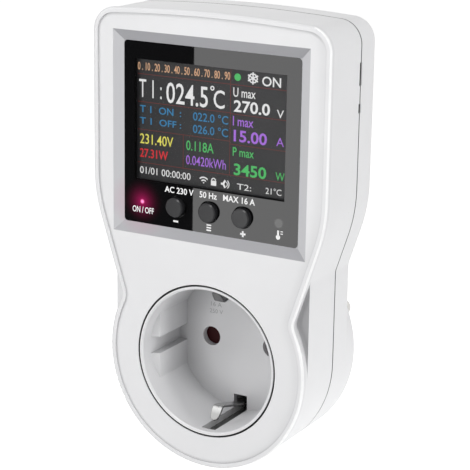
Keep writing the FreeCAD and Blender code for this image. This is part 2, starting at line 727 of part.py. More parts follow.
def clip_pockets(grow):
    """Room for the earth clips in the top and bottom of the recess."""
    half = CLIP_WIDTH / 2 + CLIP_POCKET + grow
    pockets = []
    for side in (1, -1):
        low, high = sorted((side * (CLIP_Z + CLIP_ARM_OUT - POCKET_REACH - grow), side * (POCKET_Z + grow)))
        pockets.append(box(-half, half, POCKET_START - grow, BASE_BACK, low, high))
    return pockets


def socket_insert():
    """The recess that a plug is pushed into: round, keyed, with clip pockets and pin holes."""
    shell = rod(0, 0, RING_R - RING_GAP, 0, PLATE + SEAT)
    shell = shell.fuse(rod(0, 0, SHELL_R, PLATE + SEAT, BASE_BACK))
    half = CLIP_WIDTH / 2 + CLIP_POCKET + POCKET_WALL
    housing = box(-half, half, PLATE + SEAT, BASE_BACK, -POCKET_Z - POCKET_HOUSING, POCKET_Z + POCKET_HOUSING)
    root = (RECESS_R + SHELL_R) / 2
    ear = box(root, EAR_X + EAR_POST_R, EAR_DEPTH, EAR_DEPTH + EAR, -EAR_POST_R, EAR_POST_R)
    shell = shell.fuse(housing).fuse(both_sides(ear))
    recess = rod(0, 0, RECESS_R, -PAST, RECESS_DEPTH)
    shell = shell.cut(recess)
    inner_rim = [edge for edge in flat_edges(shell, 0) if abs(edge.BoundBox.XMax - RECESS_R) < 1e-3]
    shell = shell.makeChamfer(RECESS_CHAMFER, inner_rim)
    pad = guide_pad()
    pads = both_sides(pad.fuse(pad.mirror(FreeCAD.Vector(0, 0, 0), FreeCAD.Vector(0, 0, 1))))
    shell = shell.fuse(pads).cut(clip_pockets(0.0))
    shell = shell.cut(rod(0, 0, STOP_BORE, FLOOR_BACK, STOP_DEPTH))
    shell = shell.cut(rod(0, 0, SKIRT_BORE, STOP_DEPTH, BASE_BACK + PAST))
    for x in (PIN_X, -PIN_X):
        shell = shell.cut(rod(x, 0, HOLE_R, RECESS_DEPTH - PAST, FLOOR_BACK + PAST))
    for x in (EAR_X, -EAR_X):
        shell = shell.cut(rod(x, 0, SCREW_R + SCREW_FIT, EAR_DEPTH - PAST, EAR_DEPTH + EAR + PAST))
    return shell


def shutter():
    """A turning disc whose two windows stand beside the pin holes until it is turned."""
    disc = rod(0, 0, SHUTTER_R, SHUTTER_DEPTH, SHUTTER_DEPTH + SHUTTER)
    disc = disc.cut(rod(0, 0, HUB_R + HUB_FIT, 0, BODY_DEPTH))
    for turn in (0, math.pi):
        x = PIN_X * math.cos(SHUTTER_SWING + turn)
        z = PIN_X * math.sin(SHUTTER_SWING + turn)
        window = rod(x, z, HOLE_R + WINDOW_ROOM, SHUTTER_DEPTH - PAST, SHUTTER_DEPTH + SHUTTER + PAST)
        disc = disc.cut(window)
    return disc


def contact_base():
    """The carrier behind the shutter, with the hub that the shutter turns on."""
    base = rod(0, 0, SKIRT_BORE - TONGUE_CLEARANCE, STOP_DEPTH, BASE_BACK)
    floor = STOP_DEPTH + SPRING_RECESS
    base = base.cut(tube(0, 0, SPRING_RECESS_R, SPRING_RECESS_BORE, STOP_DEPTH - PAST, floor))
    base = base.fuse(rod(0, 0, HUB_R, SHUTTER_DEPTH, BASE_BACK))
    for x in (PIN_X, -PIN_X):
        base = base.cut(rod(x, 0, HOLE_R, 0, BASE_BACK + PAST))
    return base.cut(clip_pockets(BASE_ROOM))


def shutter_spring():
    """A flat wire bent once round the hub, which turns the shutter back."""
    near = SPRING_R - SPRING_GAP
    points = [(-SPRING_R - SPRING_END, -SPRING_R), (SPRING_R, -SPRING_R), (SPRING_R, SPRING_R),
              (-SPRING_R, SPRING_R), (-SPRING_R, -near)]
    spring = ribbon([FreeCAD.Vector(x, z, 0) for x, z in points], SPRING_WIRE, SPRING_BEND, SPRING_WIRE)
    turned = FreeCAD.Matrix(1, 0, 0, 0, 0, 0, -1, y_at(STOP_DEPTH + SPRING_RECESS), 0, 1, 0, 0)
    return spring.transformed(turned)


def socket_earth_clip():
    """One strip: a sprung clip at the top and bottom of the recess, joined behind the floor."""
    bridge = BASE_BACK + CLIP / 2
    arm = CLIP_Z + CLIP_ARM_OUT
    hook = (CLIP_NOSE_DEPTH + CLIP_HOOK_BACK, CLIP_Z + CLIP_HOOK_OUT)
    nose = (CLIP_NOSE_DEPTH, CLIP_Z + CLIP_NOSE_OUT)
    knee = (CLIP_KNEE_DEPTH, CLIP_Z)
    lead = (RECESS_DEPTH - CLIP_LEAD, CLIP_Z + CLIP_LEAD_OUT)
    clip = [hook, nose, knee, lead, (RECESS_DEPTH, arm), (bridge, arm)]
    path = clip + [(depth, -z) for depth, z in reversed(clip)]
    return strip(path, CLIP, CLIP_CURL, -CLIP_WIDTH / 2, CLIP_WIDTH / 2)


def plug_earth_clip():
    """The earth strip of the plug, which runs down both sides of the plug body."""
    arm = [(PLUG_FACE_DEPTH - PLUG_CLIP_END, PLUG_R - PLUG_CLIP_TIP_IN),
           (PLUG_FACE_DEPTH - PLUG_CLIP_BULGE, PLUG_R), (PLUG_CLIP_DEPTH, PLUG_R - PLUG_CLIP_ROOT_IN)]
    path = arm + [(depth, -z) for depth, z in reversed(arm)]
    return strip(path, CLIP, CLIP_BEND, -CLIP_WIDTH / 2, CLIP_WIDTH / 2)


def earth_post():
    return rod(0, 0, EARTH_POST_R, BASE_BACK + CLIP, PLUG_CLIP_DEPTH - CLIP / 2)


def socket_contact(side):
    """A gripping contact with two leaves, and the strip that leads up to the power board."""
    back = BASE_BACK + STRIP
    half = BUSBAR_WIDTH / 2
    inner = PIN_X - CONTACT_PLATE
    tail = PIN_X + LEAD_OUT
    plate = box(inner, tail + half, BASE_BACK, back, -half, half)
    plate = plate.fuse(box(inner, PIN_X + CONTACT_PLATE, BASE_BACK, back, -CONTACT_HALF, CONTACT_HALF))
    plate = plate.cut(rod(PIN_X, 0, HOLE_R, 0, back + PAST))
    for lean in (1, -1):
        path = [(back - STRIP / 2, PIN_X + lean * LEAF_ROOT),
                (back + LEAF_PINCH_AT, PIN_X + lean * LEAF_PINCH),
                (back + LEAF, PIN_X + lean * LEAF_MOUTH)]
        plate = plate.fuse(strip(path, STRIP, CLIP_BEND, -LEAF_HALF, LEAF_HALF, False))
    middle = BASE_BACK + STRIP / 2
    rest = POWER_BOARD_DEPTH - STRIP / 2
    lead = [(middle, -half), (middle, LEAD_RISE), (rest, LEAD_RISE), (rest, POWER_BOARD_LOW + BUSBAR_REACH)]
    lead = strip(lead, STRIP, CLIP_BEND, tail - half, tail + half)
    contact = plate.fuse(lead)
    return contact if side > 0 else flipped(contact)


def plug_pin(side):
    """A solid round pin: a thicker seat in the plug face, a collar and a tail inside."""
    inside = PLUG_FACE_DEPTH - PLUG_FACE
    tip = PLUG_FACE_DEPTH + PIN_LENGTH
    x = side * PIN_X
    pin = rod(x, 0, PIN_R, PLUG_FACE_DEPTH, tip)
    pin = pin.makeFillet(PIN_TIP, flat_edges(pin, tip))
    pin = pin.fuse(rod(x, 0, PIN_SEAT_R, inside - SEAT, PLUG_FACE_DEPTH))
    pin = pin.fuse(rod(x, 0, COLLAR_R, inside - COLLAR, inside))
    return pin.fuse(rod(x, 0, PIN_TAIL_R, inside - PIN_TAIL, inside))


def busbar(side):
    """The strip from a plug pin to the power board."""
    start = PLUG_FACE_DEPTH - PLUG_FACE - COLLAR - STRIP / 2
    turn = DRUM_DEPTH - BUSBAR_TURN
    rest = POWER_BOARD_DEPTH - STRIP / 2
    path = [(start, -BUSBAR_START), (start, BUSBAR_RISE), (turn, BUSBAR_RISE), (turn, BUSBAR_CLIMB),
            (rest, BUSBAR_CLIMB), (rest, POWER_BOARD_LOW + BUSBAR_REACH)]
    low = PIN_X - BUSBAR_SHIFT - BUSBAR_WIDTH / 2
    bar = strip(path, STRIP, CLIP_BEND, low, low + BUSBAR_WIDTH)
    bar = bar.fuse(box(PIN_X - BUSBAR_START, PIN_X + BUSBAR_START, start - STRIP / 2, start + STRIP / 2,
                       -BUSBAR_START, BUSBAR_START))
    bar = bar.cut(rod(PIN_X, 0, PIN_TAIL_R + PIN_FIT, start - PAST, start + PAST))
    return bar if side > 0 else flipped(bar)


def power_board():
    board = sheet(2 * POWER_BOARD_HALF, POWER_BOARD_HIGH - POWER_BOARD_LOW, 0,
                  (POWER_BOARD_LOW + POWER_BOARD_HIGH) / 2, POWER_BOARD_DEPTH,
                  POWER_BOARD_DEPTH + POWER_BOARD, BOARD_CORNER)
    for x, z in STANDOFFS:
        board = board.cut(rod(x, z, SCREW_R + SCREW_FIT, 0, BODY_DEPTH))
    return board


def power_place(place):
    """The x and z of a place on the power board."""
    x, rise = place
    return x, POWER_BOARD_LOW + rise


def display_place(place):
    """The x and z of a place on the back of the display board."""
    x, drop = place
    return x, TOP_Z - drop


def on_power_board(size, place):
    """A block that stands on the power board."""
    width, height, tall = size
    x, z = power_place(place)
    return sheet(width, height, x, z, POWER_BOARD_DEPTH - tall, POWER_BOARD_DEPTH, PART_CORNER)


def relay():
    return on_power_board(RELAY, RELAY_AT)


def transformer():
    """A bobbin between two core halves."""
    return on_power_board(CORE, TRANSFORMER_AT).fuse(on_power_board(BOBBIN, TRANSFORMER_AT))


def capacitor():
    top = POWER_BOARD_DEPTH - CAPACITOR_HEIGHT
    x, z = power_place(CAPACITOR_AT)
    can = rod(x, z, CAPACITOR_R, top, POWER_BOARD_DEPTH)
    return can.makeChamfer(PART_CORNER, flat_edges(can, top))


def lying_rod(x, z, radius, length, depth):
    """A round rod that lies sideways at a depth."""
    return Part.makeCylinder(radius, length, FreeCAD.Vector(x, y_at(depth), z), FreeCAD.Vector(1, 0, 0))


def varistor():
    """A dipped disc that stands on edge, on its two joined legs."""
    x, z = power_place(VARISTOR_AT)
    start, end, leg = VARISTOR_FOOT
    disc = lying_rod(x, z, VARISTOR_R, VARISTOR, POWER_BOARD_DEPTH - VARISTOR_DEPTH)
    return disc.fuse(box(x + start, x + end, POWER_BOARD_DEPTH - leg, POWER_BOARD_DEPTH, z - leg, z + leg))


def fuse():
    """A round fuse body between two solder caps."""
    x, z = power_place(FUSE_AT)
    depth = POWER_BOARD_DEPTH - FUSE_CAP_R
    body = lying_rod(x, z, FUSE_R, FUSE_LENGTH, depth)
    for start in (x, x + FUSE_LENGTH - FUSE_CAP):
        body = body.fuse(lying_rod(start, z, FUSE_CAP_R, FUSE_CAP, depth))
    return body


def shunt():
    """A thick bridge of resistance wire between two pads."""
    top = POWER_BOARD_DEPTH - SHUNT_HEIGHT
    low = POWER_BOARD_LOW + SHUNT_RISE
    left, right = SHUNT_X
    path = [(POWER_BOARD_DEPTH, left), (top, left), (top, right), (POWER_BOARD_DEPTH, right)]
    return strip(path, SHUNT, SHUNT, low, low + SHUNT, False)


def behind_display(size, place, start):
    """A block on the back of the display board, from a distance behind it."""
    width, height, thick = size
    x, z = display_place(place)
    return sheet(width, height, x, z, BOARD_BACK + start, BOARD_BACK + start + thick, PART_CORNER)


def radio_module():
    """A small board with a metal can on the back of the display board."""
    can_place = (RADIO_AT[0], RADIO_AT[1] + RADIO_CAN_DROP)
    return behind_display(RADIO, RADIO_AT, 0).fuse(behind_display(RADIO_CAN, can_place, RADIO[2]))


def sounder():
    """A round sounder with its port at the back."""
    x, z = display_place(SOUNDER_AT)
    back = BOARD_BACK + SOUNDER
    body = rod(x, z, SOUNDER_R, BOARD_BACK, back)
    return body.cut(rod(x, z, SOUNDER_PORT_R, back - SOUNDER_PORT, back + PAST))


def clock_cell():
    x, z = display_place(CELL_AT)
    return rod(x, z, CELL_R, BOARD_BACK, BOARD_BACK + CELL)


def board_header():
    """A row of pins that joins the two boards."""
    width, height, thick = HEADER
    x = HEADER_AT[0] - width / 2
    z = TOP_Z - HEADER_AT[1] - height / 2
    header = box(x, x + width, BOARD_BACK, BOARD_BACK + thick, z, z + height)
    x = HEADER_AT[0] - HEADER_PITCH * (HEADER_PINS - 1) / 2 - HEADER_PIN / 2
    z = TOP_Z - HEADER_AT[1] - HEADER_PIN / 2
    start = BOARD_BACK + thick - SEAT
    for index in range(HEADER_PINS):
        header = header.fuse(box(x, x + HEADER_PIN, start, POWER_BOARD_DEPTH, z, z + HEADER_PIN))
        x += HEADER_PITCH
    return header


def air_sensor():
    """A bead on two wires, just inside the slots in the right side."""
    x = HALF_WIDTH - CAVITY_INSET - SENSOR_IN
    z = (LONG_SLOT_Z + SHORT_SLOT_Z + SHORT_SLOT) / 2
    bead = rod(x, z, SENSOR_R, SEAM_DEPTH - SENSOR_R, SEAM_DEPTH + SENSOR_R)
    for depth in (SEAM_DEPTH - SENSOR_R, SEAM_DEPTH + SENSOR_R):
        bead = bead.makeChamfer(SENSOR_R / 2, flat_edges(bead, depth))
    for step in (SENSOR_PITCH / 2, -SENSOR_PITCH / 2):
        bead = bead.fuse(rod(x, z + step, SENSOR_WIRE_R, BOARD_BACK, SEAM_DEPTH))
    return bead


def screw(x, z, head, tip):
    """A pan-head screw whose head rests at the head depth and whose tip points forward."""
    shank = rod(x, z, SCREW_R, tip, head + SEAT)
    cap = rod(x, z, SCREW_HEAD_R, head, head + SCREW_HEAD)
    back = head + SCREW_HEAD
    cap = cap.makeChamfer(SCREW_HEAD_CHAMFER, flat_edges(cap, back))
    for width, height in ((SCREW_SLOT, SCREW_SLOT_WIDTH), (SCREW_SLOT_WIDTH, SCREW_SLOT)):
        cap = cap.cut(box(x - width / 2, x + width / 2, back - SCREW_SLOT_DEPTH, back + PAST,
                          z - height / 2, z + height / 2))
    return shank.fuse(cap)


def board_screw(x, z):
    """A screw that enters the power board from the front."""
    cap = rod(x, z, BOARD_SCREW_HEAD_R, POWER_BOARD_DEPTH - BOARD_SCREW_HEAD, POWER_BOARD_DEPTH)
    return cap.fuse(rod(x, z, SCREW_R, POWER_BOARD_DEPTH, BODY_DEPTH - WALL - SEAT))


os.makedirs("parts", exist_ok=True)
save("front_cover", front_cover())
save("rear_housing", rear_housing())
save("display_lens", display_lens())
save("window_film", window_film())
save("lcd_panel", lcd_panel())
save("screen_tray", screen_tray())
save("display_board", display_board())
for key_name, key_x in KEYS:
    save(key_name + "_key", key(key_x))
    save(key_name + "_plunger", plunger(key_x))
save("key_switches", *[key_switch(x) for name, x in KEYS])
save("power_lamp", lamp(-LAMP_X))
save("status_lamp", lamp(LAMP_X))
save("socket_insert", socket_insert())
save("shutter", shutter())
save("shutter_spring", shutter_spring())
save("contact_base", contact_base())
save("socket_earth_clip", socket_earth_clip())
save("plug_earth_clip", plug_earth_clip())
save("earth_post", earth_post())
save("live_contact", socket_contact(-1))
save("neutral_contact", socket_contact(1))
save("live_pin", plug_pin(-1))
save("neutral_pin", plug_pin(1))
save("live_busbar", busbar(-1))
save("neutral_busbar", busbar(1))
save("power_board", power_board())
save("relay", relay())
save("transformer", transformer())
save("capacitor", capacitor())
save("varistor", varistor())
save("fuse", fuse())
save("shunt", shunt())
save("radio_module", radio_module())
save("sounder", sounder())
save("clock_cell", clock_cell())
save("board_header", board_header())
save("air_sensor", air_sensor())
save("case_screws", *[screw(x, z, SCREW_SEAT, SCREW_TIP) for x, z in POSTS])
save("insert_screws", *[screw(x, 0, EAR_DEPTH + EAR, INSERT_SCREW_TIP) for x in (EAR_X, -EAR_X)])
save("board_screws", *[board_screw(x, z) for x, z in STANDOFFS])
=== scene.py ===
import math
from collections import namedtuple

import bmesh
import bpy
from mathutils import Matrix, Vector


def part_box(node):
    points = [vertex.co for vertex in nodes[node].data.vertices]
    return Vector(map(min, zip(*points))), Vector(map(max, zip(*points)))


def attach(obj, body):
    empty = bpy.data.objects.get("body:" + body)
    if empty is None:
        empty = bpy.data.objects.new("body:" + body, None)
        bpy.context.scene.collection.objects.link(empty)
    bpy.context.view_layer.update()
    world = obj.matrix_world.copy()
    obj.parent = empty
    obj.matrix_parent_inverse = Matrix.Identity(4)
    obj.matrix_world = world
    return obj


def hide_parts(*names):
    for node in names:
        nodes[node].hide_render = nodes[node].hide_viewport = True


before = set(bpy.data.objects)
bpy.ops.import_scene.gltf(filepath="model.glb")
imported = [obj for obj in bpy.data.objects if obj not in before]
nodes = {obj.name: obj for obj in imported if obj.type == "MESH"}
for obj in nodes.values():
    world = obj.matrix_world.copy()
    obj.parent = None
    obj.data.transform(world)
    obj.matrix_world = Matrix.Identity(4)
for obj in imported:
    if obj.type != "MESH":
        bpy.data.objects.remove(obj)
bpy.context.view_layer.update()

scene = bpy.context.scene


# Housing: two shells moulded in white ABS, held together by four screws from behind, with a thin
# seam between them and two air slots on it.  The mould is finely spark-eroded, so the white is
# satin.  The seam and the slots hold painted shade.  The four slopes round the window are polished
# and greyer, partly in their own grey and partly in painted shade, darker on top and bottom, and
# carry a painted pink glow from the lamp.
Coat = namedtuple("Coat", "material surface place normal")


def coated(name, roughness, metallic=0.0):
    """A new coat: its material, the inputs of its surface, and the piece's own coordinates and normals."""
    material = bpy.data.materials.new(name)
    material.use_nodes = True
    surface = material.node_tree.nodes["Principled BSDF"].inputs
    surface["Roughness"].default_value = roughness
    surface["Metallic"].default_value = metallic
    seen = material.node_tree.nodes.new("ShaderNodeTexCoord").outputs
    return Coat(material, surface, seen["Object"], seen["Normal"])


def fed(socket, value):
    """Give a node's input a number, a colour or the result of another node."""
    if isinstance(value, bpy.types.NodeSocket):
        socket.id_data.links.new(value, socket)
    elif socket.type == "RGBA":
        socket.default_value = (*value, 1.0)
    else:
        socket.default_value = value


def grain(place, size, detail=2.0, stretch=None):
    """A soft random pattern whose patches are about this size in metres."""
    tree = place.id_data
    if stretch:
        mapping = tree.nodes.new("ShaderNodeMapping")
        fed(mapping.inputs["Scale"], stretch)
        fed(mapping.inputs["Vector"], place)
        place = mapping.outputs["Vector"]
    noise = tree.nodes.new("ShaderNodeTexNoise")
    fed(noise.inputs["Scale"], 1.0 / size)
    fed(noise.inputs["Detail"], detail)
    fed(noise.inputs["Vector"], place)
    return noise.outputs["Fac"]


def spread(value, low, high, start=0.3, end=0.7):
    """The value carried from the range start to end over to the range low to high."""
    carry = value.id_data.nodes.new("ShaderNodeMapRange")
    fed(carry.inputs["From Min"], start)
    fed(carry.inputs["From Max"], end)
    fed(carry.inputs["To Min"], low)
    fed(carry.inputs["To Max"], high)
    fed(carry.inputs["Value"], value)
    return carry.outputs["Result"]


def tinted(share, first, second):
    """The first colour where the share is 0, the second where it is 1, and a mix between."""
    mix = share.id_data.nodes.new("ShaderNodeMix")
    mix.data_type = "RGBA"
    fed(mix.inputs["Factor"], share)
    fed(mix.inputs["A"], first)
    fed(mix.inputs["B"], second)
    return mix.outputs["Result"]


def relief(coat, height, depth):
    """Fine surface relief of this depth in metres."""
    bump = height.id_data.nodes.new("ShaderNodeBump")
    fed(bump.inputs["Strength"], 1.0)
    fed(bump.inputs["Distance"], depth)
    fed(bump.inputs["Height"], height)
    fed(coat.surface["Normal"], bump.outputs["Normal"])


def worked(operation, first, *others):
    """The result of a sum that starts from a socket."""
    node = first.id_data.nodes.new("ShaderNodeMath")
    node.operation = operation
    for socket, value in zip(node.inputs, (first, *others)):
        fed(socket, value)
    return node.outputs[0]


def above(value, limit):
    """1 where the value is over the limit, and 0 elsewhere."""
    return worked("GREATER_THAN", value, limit)


def below(value, limit):
    """1 where the value is under the limit, and 0 elsewhere."""
    return worked("LESS_THAN", value, limit)


def both(first, second):
    """1 where two masks are 1, and 0 elsewhere."""
    return worked("MULTIPLY", first, second)


def between(value, low, high):
    """1 where the value lies between two limits, and 0 elsewhere."""
    return both(above(value, low), below(value, high))


def axes(place):
    """The three parts of a point or a direction."""
    split = place.id_data.nodes.new("ShaderNodeSeparateXYZ")
    fed(split.inputs[0], place)
    return split.outputs


def within(place, low, high, more):
    """1 inside a box in the front view that is made larger all round, and 0 outside it."""
    across, _, up = axes(place)
    return both(between(across, low[0] - more, high[0] + more), between(up, low[2] - more, high[2] + more))


def off_middle(value, low, high):
    """How far a value is from the middle of two limits."""
    return worked("ABSOLUTE", worked("SUBTRACT", value, (low + high) / 2))


def squared(first, second):
    """The sum of two squares."""
    return worked("ADD", worked("MULTIPLY", first, first), worked("MULTIPLY", second, second))


def distance(place, node):
    """How far a point is from the middle of a node, in the front view."""
    low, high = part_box(node)
    across, _, up = axes(place)
    return worked("SQRT", squared(off_middle(across, low[0], high[0]), off_middle(up, low[2], high[2])))


def recoloured(coat, share, colour):
    """Cover the base colour with another one where the share is 1."""
    under = coat.surface["Base Color"].links[0].from_socket
    fed(coat.surface["Base Color"], tinted(share, under, colour))


def paint_crease_shade(coat, reach, colour):
    """Paint shade softly into the base colour in corners and along steps."""
    corner = coat.place.id_data.nodes.new("ShaderNodeAmbientOcclusion")
    corner.samples = 12
    corner.only_local = True
    fed(corner.inputs["Distance"], reach)
    recoloured(coat, spread(corner.outputs["AO"], 1.0, 0.0, *CREASE_OPENNESS), colour)


def dress(coat, *names):
    """Give CAD nodes this coat."""
    for name in names:
        for slot in nodes[name].material_slots:
            slot.material = coat.material


def moulded(name, light, dark, roughness, texture=0.0003, depth=0.0000025):
    """Moulded plastic: fine erosion texture, a faint cloud in colour and gloss."""
    coat = coated(name, roughness)
    cloud = grain(coat.place, CLOUD_SIZE)
    fed(coat.surface["Base Color"], tinted(spread(cloud, 0, 1, *CLOUD_SPAN), light, dark))
    fed(coat.surface["Roughness"], spread(cloud, roughness - SMOOTHER, roughness + ROUGHER, *CLOUD_SPAN))
    relief(coat, grain(coat.place, texture, FINE_DETAIL), depth)
    return coat


# Lengths are in metres, and a pair of depths is counted from the socket insert's front face.
CLOUD_SIZE = 0.012
CLOUD_SPAN = (0.1, 0.9)
SMOOTHER = 0.04
ROUGHER = 0.05
FINE_DETAIL = 3.0
CREASE_OPENNESS = (0.40, 0.90)
CREASE_REACH = 0.0014
CREASE_SHADE = (0.50, 0.50, 0.51)
SHELL_LIGHT = (0.80, 0.80, 0.81)
SHELL_DARK = (0.775, 0.775, 0.785)
SEAM = (0.01655, 0.01705)
SEAM_SHADE = (0.22, 0.22, 0.22)
SLOT_ACROSS = (0.030, 0.03445)
SLOT_UP = (0.045, 0.085)
SLOT_DEPTHS = (0.0161, 0.0175)
SLOT_SHADE = (0.06, 0.06, 0.06)
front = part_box("socket_insert")[0][1]


def shell(name):
    """The white of a shell, with painted shade in the seam and inside the two slots."""
    coat = moulded(name, SHELL_LIGHT, SHELL_DARK, roughness=0.30)
    x, y, z = axes(coat.place)
    depth = worked("SUBTRACT", y, front)
    recoloured(coat, between(depth, *SEAM), SEAM_SHADE)
    slots = both(between(x, *SLOT_ACROSS), between(z, *SLOT_UP))
    recoloured(coat, both(slots, between(depth, *SLOT_DEPTHS)), SLOT_SHADE)
    return coat, depth


shell_white, _ = shell("shell_white")
dress(shell_white, "rear_housing")

# The front cover: a painted highlight on the bead's flank that faces right and painted shade on
# the flank that faces left, painted shade on the foot behind the bead and on the right-hand ledge,
# the slopes, and painted shade in the gap round the socket.
BEAD = (-0.001, -0.00002)
BEAD_HIGHLIGHT = (0.95, 0.95, 0.955)
BEAD_FLANK_SHADE = (0.68, 0.68, 0.69)
BEAD_TURN = 0.2
FOOT = (0.00004, 0.0013)
FOOT_SHADE = (0.74, 0.74, 0.75)
LEDGE = (0.0022, 0.0024)
LEDGE_SHADE = (0.36, 0.36, 0.37)
TOWARDS_FRONT = -0.7
SLOPE_WIDTH = 0.0018
SLOPE_POLISH = 0.1
SIDE_SLOPE_SHADE = (0.57, 0.57, 0.59)
LEVEL_SLOPE_SHADE = (0.39, 0.39, 0.41)
PAINTED_LAMP_GLOW = (0.62, 0.22, 0.36)
PAINTED_GLOW_SHARE = 0.30
PAINTED_GLOW_REACH = (0.0045, 0.0095)
SOCKET_HOLE = 0.0212
GAP_DEPTH = 0.00025
GAP_SHADE = (0.012, 0.012, 0.012)
cover_white, depth = shell("cover_white")
x, _, z = axes(cover_white.place)
turned, facing, _ = axes(cover_white.normal)
# Painted highlight and shade on the bead's flanks, painted shade on its foot and the right ledge.
bead = between(depth, *BEAD)
recoloured(cover_white, both(bead, above(turned, BEAD_TURN)), BEAD_HIGHLIGHT)
recoloured(cover_white, both(bead, below(turned, -BEAD_TURN)), BEAD_FLANK_SHADE)
recoloured(cover_white, between(depth, *FOOT), FOOT_SHADE)
ledge = both(below(facing, TOWARDS_FRONT), between(depth, *LEDGE))
recoloured(cover_white, both(ledge, above(x, 0.0)), LEDGE_SHADE)

window_low, window_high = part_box("display_lens")
slopes = within(cover_white.place, window_low, window_high, SLOPE_WIDTH)
half_tall = (window_high[2] - window_low[2]) / 2
past_side = worked("SUBTRACT", worked("ABSOLUTE", x), window_high[0])
past_end = worked("SUBTRACT", off_middle(z, window_low[2], window_high[2]), half_tall)
# The slopes are painted grey, partly their own grey and partly painted shade, darker top and bottom.
recoloured(cover_white, slopes, tinted(above(past_side, past_end), LEVEL_SLOPE_SHADE, SIDE_SLOPE_SHADE))
# A painted pink glow from the lamp lies on the slopes near it.
near_lamp = spread(distance(cover_white.place, "power_lamp"), PAINTED_GLOW_SHARE, 0.0, *PAINTED_GLOW_REACH)
recoloured(cover_white, both(slopes, near_lamp), PAINTED_LAMP_GLOW)
socket_hole = below(distance(cover_white.place, "socket_insert"), SOCKET_HOLE)
recoloured(cover_white, both(socket_hole, above(depth, GAP_DEPTH)), GAP_SHADE)
matt = cover_white.surface["Roughness"].links[0].from_socket
polish = worked("MULTIPLY", slopes, SLOPE_POLISH)
fed(cover_white.surface["Roughness"], worked("SUBTRACT", matt, polish))
# Painted shade in the cover's corners and along its steps.
paint_crease_shade(cover_white, CREASE_REACH, CREASE_SHADE)
dress(cover_white, "front_cover")


# Window: a clear 1.3 mm plate with a black film printed on its back, open over the screen.
# It lies in a pocket under the bezel.  The two lamps sit behind thin spots in the print: the lit
# one's pink point and the glow round it are painted light that the window itself gives off, and the
# other shows as a grey spot painted on the window.
SCREEN_BORDER = 0.0021
VIEW_ALPHA = 0.10
VIEW_BLUR = 0.28
WINDOW_RIM = 0.001
WINDOW_CORNER = 0.0011
SMEAR_SIZE = 0.015
SMEAR_BLUR = (0.008, 0.02)
LAMP_HOLE = 0.0012
PRINT_BLACK = (0.004, 0.004, 0.0045)
SPOT_EDGE = (0.8, 1.2)
UNLIT_GREY = (0.07, 0.07, 0.07)
POINT = 0.00042
POINT_EDGE = (0.6, 1.8)
POINT_PINK = (1.0, 0.30, 0.62)
GLOW_REACH = 0.0075
GLOW_FALL = 3.4
GLOW_SHARE = 0.38
GLOW_PINK = (0.85, 0.02, 0.22)
screen_low, screen_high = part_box("lcd_panel")
window_gloss = coated("window_gloss", roughness=0.04)
fed(window_gloss.surface["IOR"], 1.5)
view = within(window_gloss.place, screen_low, screen_high, -SCREEN_BORDER)
fed(window_gloss.surface["Alpha"], spread(view, 1.0, VIEW_ALPHA, 0.0, 1.0))
smears = spread(grain(window_gloss.place, SMEAR_SIZE), *SMEAR_BLUR)
fed(window_gloss.surface["Roughness"], worked("ADD", smears, worked("MULTIPLY", view, VIEW_BLUR)))
from_unlit = distance(window_gloss.place, "status_lamp")
unlit = spread(from_unlit, 1.0, 0.0, LAMP_HOLE * SPOT_EDGE[0], LAMP_HOLE * SPOT_EDGE[1])
fed(window_gloss.surface["Base Color"], tinted(unlit, PRINT_BLACK, UNLIT_GREY))

# The plate's corners are round, and the slope's grey and painted shade go on past them.
x, _, z = axes(window_gloss.place)
past_corner = []
for value, low, high in ((x, window_low[0], window_high[0]), (z, window_low[2], window_high[2])):
    straight = (high - low) / 2 - WINDOW_RIM - WINDOW_CORNER
    past_corner.append(worked("MAXIMUM", worked("SUBTRACT", off_middle(value, low, high), straight), 0.0))
recoloured(window_gloss, above(squared(*past_corner), WINDOW_CORNER ** 2), LEVEL_SLOPE_SHADE)

from_lit = distance(window_gloss.place, "power_lamp")
glow = worked("POWER", spread(from_lit, 1.0, 0.0, POINT, GLOW_REACH), GLOW_FALL)
point = spread(from_lit, 1.0, 0.0, POINT * POINT_EDGE[0], POINT * POINT_EDGE[1])
fed(window_gloss.surface["Emission Color"], tinted(point, GLOW_PINK, POINT_PINK))
fed(window_gloss.surface["Emission Strength"], worked("ADD", worked("MULTIPLY", glow, GLOW_SHARE), point))
dress(window_gloss, "display_lens")

film_black = moulded("film_black", (0.006, 0.006, 0.006), (0.009, 0.009, 0.009), roughness=0.5)
dress(film_black, "window_film")


# Screen: a glass panel with an anti-glare face, lit from behind, held in a white tray.
# Its picture is plain: readings in numbers and units, in the colours and places of the
# photographed one, with thin red rules between the fields.
panel_dark = coated("panel_dark", roughness=0.32)
pixels = spread(grain(panel_dark.place, 0.0004, 1.0), 0, 1)
fed(panel_dark.surface["Base Color"], tinted(pixels, (0.012, 0.012, 0.014), (0.016, 0.016, 0.018)))
fed(panel_dark.surface["Emission Color"], (0.9, 0.92, 1.0))
fed(panel_dark.surface["Emission Strength"], 0.004)
dress(panel_dark, "lcd_panel")

tray_white = moulded("tray_white", (0.75, 0.75, 0.74), (0.7, 0.7, 0.69), roughness=0.5)
dress(tray_white, "screen_tray")


PIXEL_PATCH = 0.0006
DIMMEST_SHARE = 0.93


def lit(name, colour, strength):
    """Light from the screen, faintly uneven as pixels are."""
    coat = coated(name, roughness=0.6)
    fed(coat.surface["Base Color"], (0.01, 0.01, 0.01))
    fed(coat.surface["Emission Color"], colour)
    shine = spread(grain(coat.place, PIXEL_PATCH), strength * DIMMEST_SHARE, strength)
    fed(coat.surface["Emission Strength"], shine)
    return coat


MM = 0.001


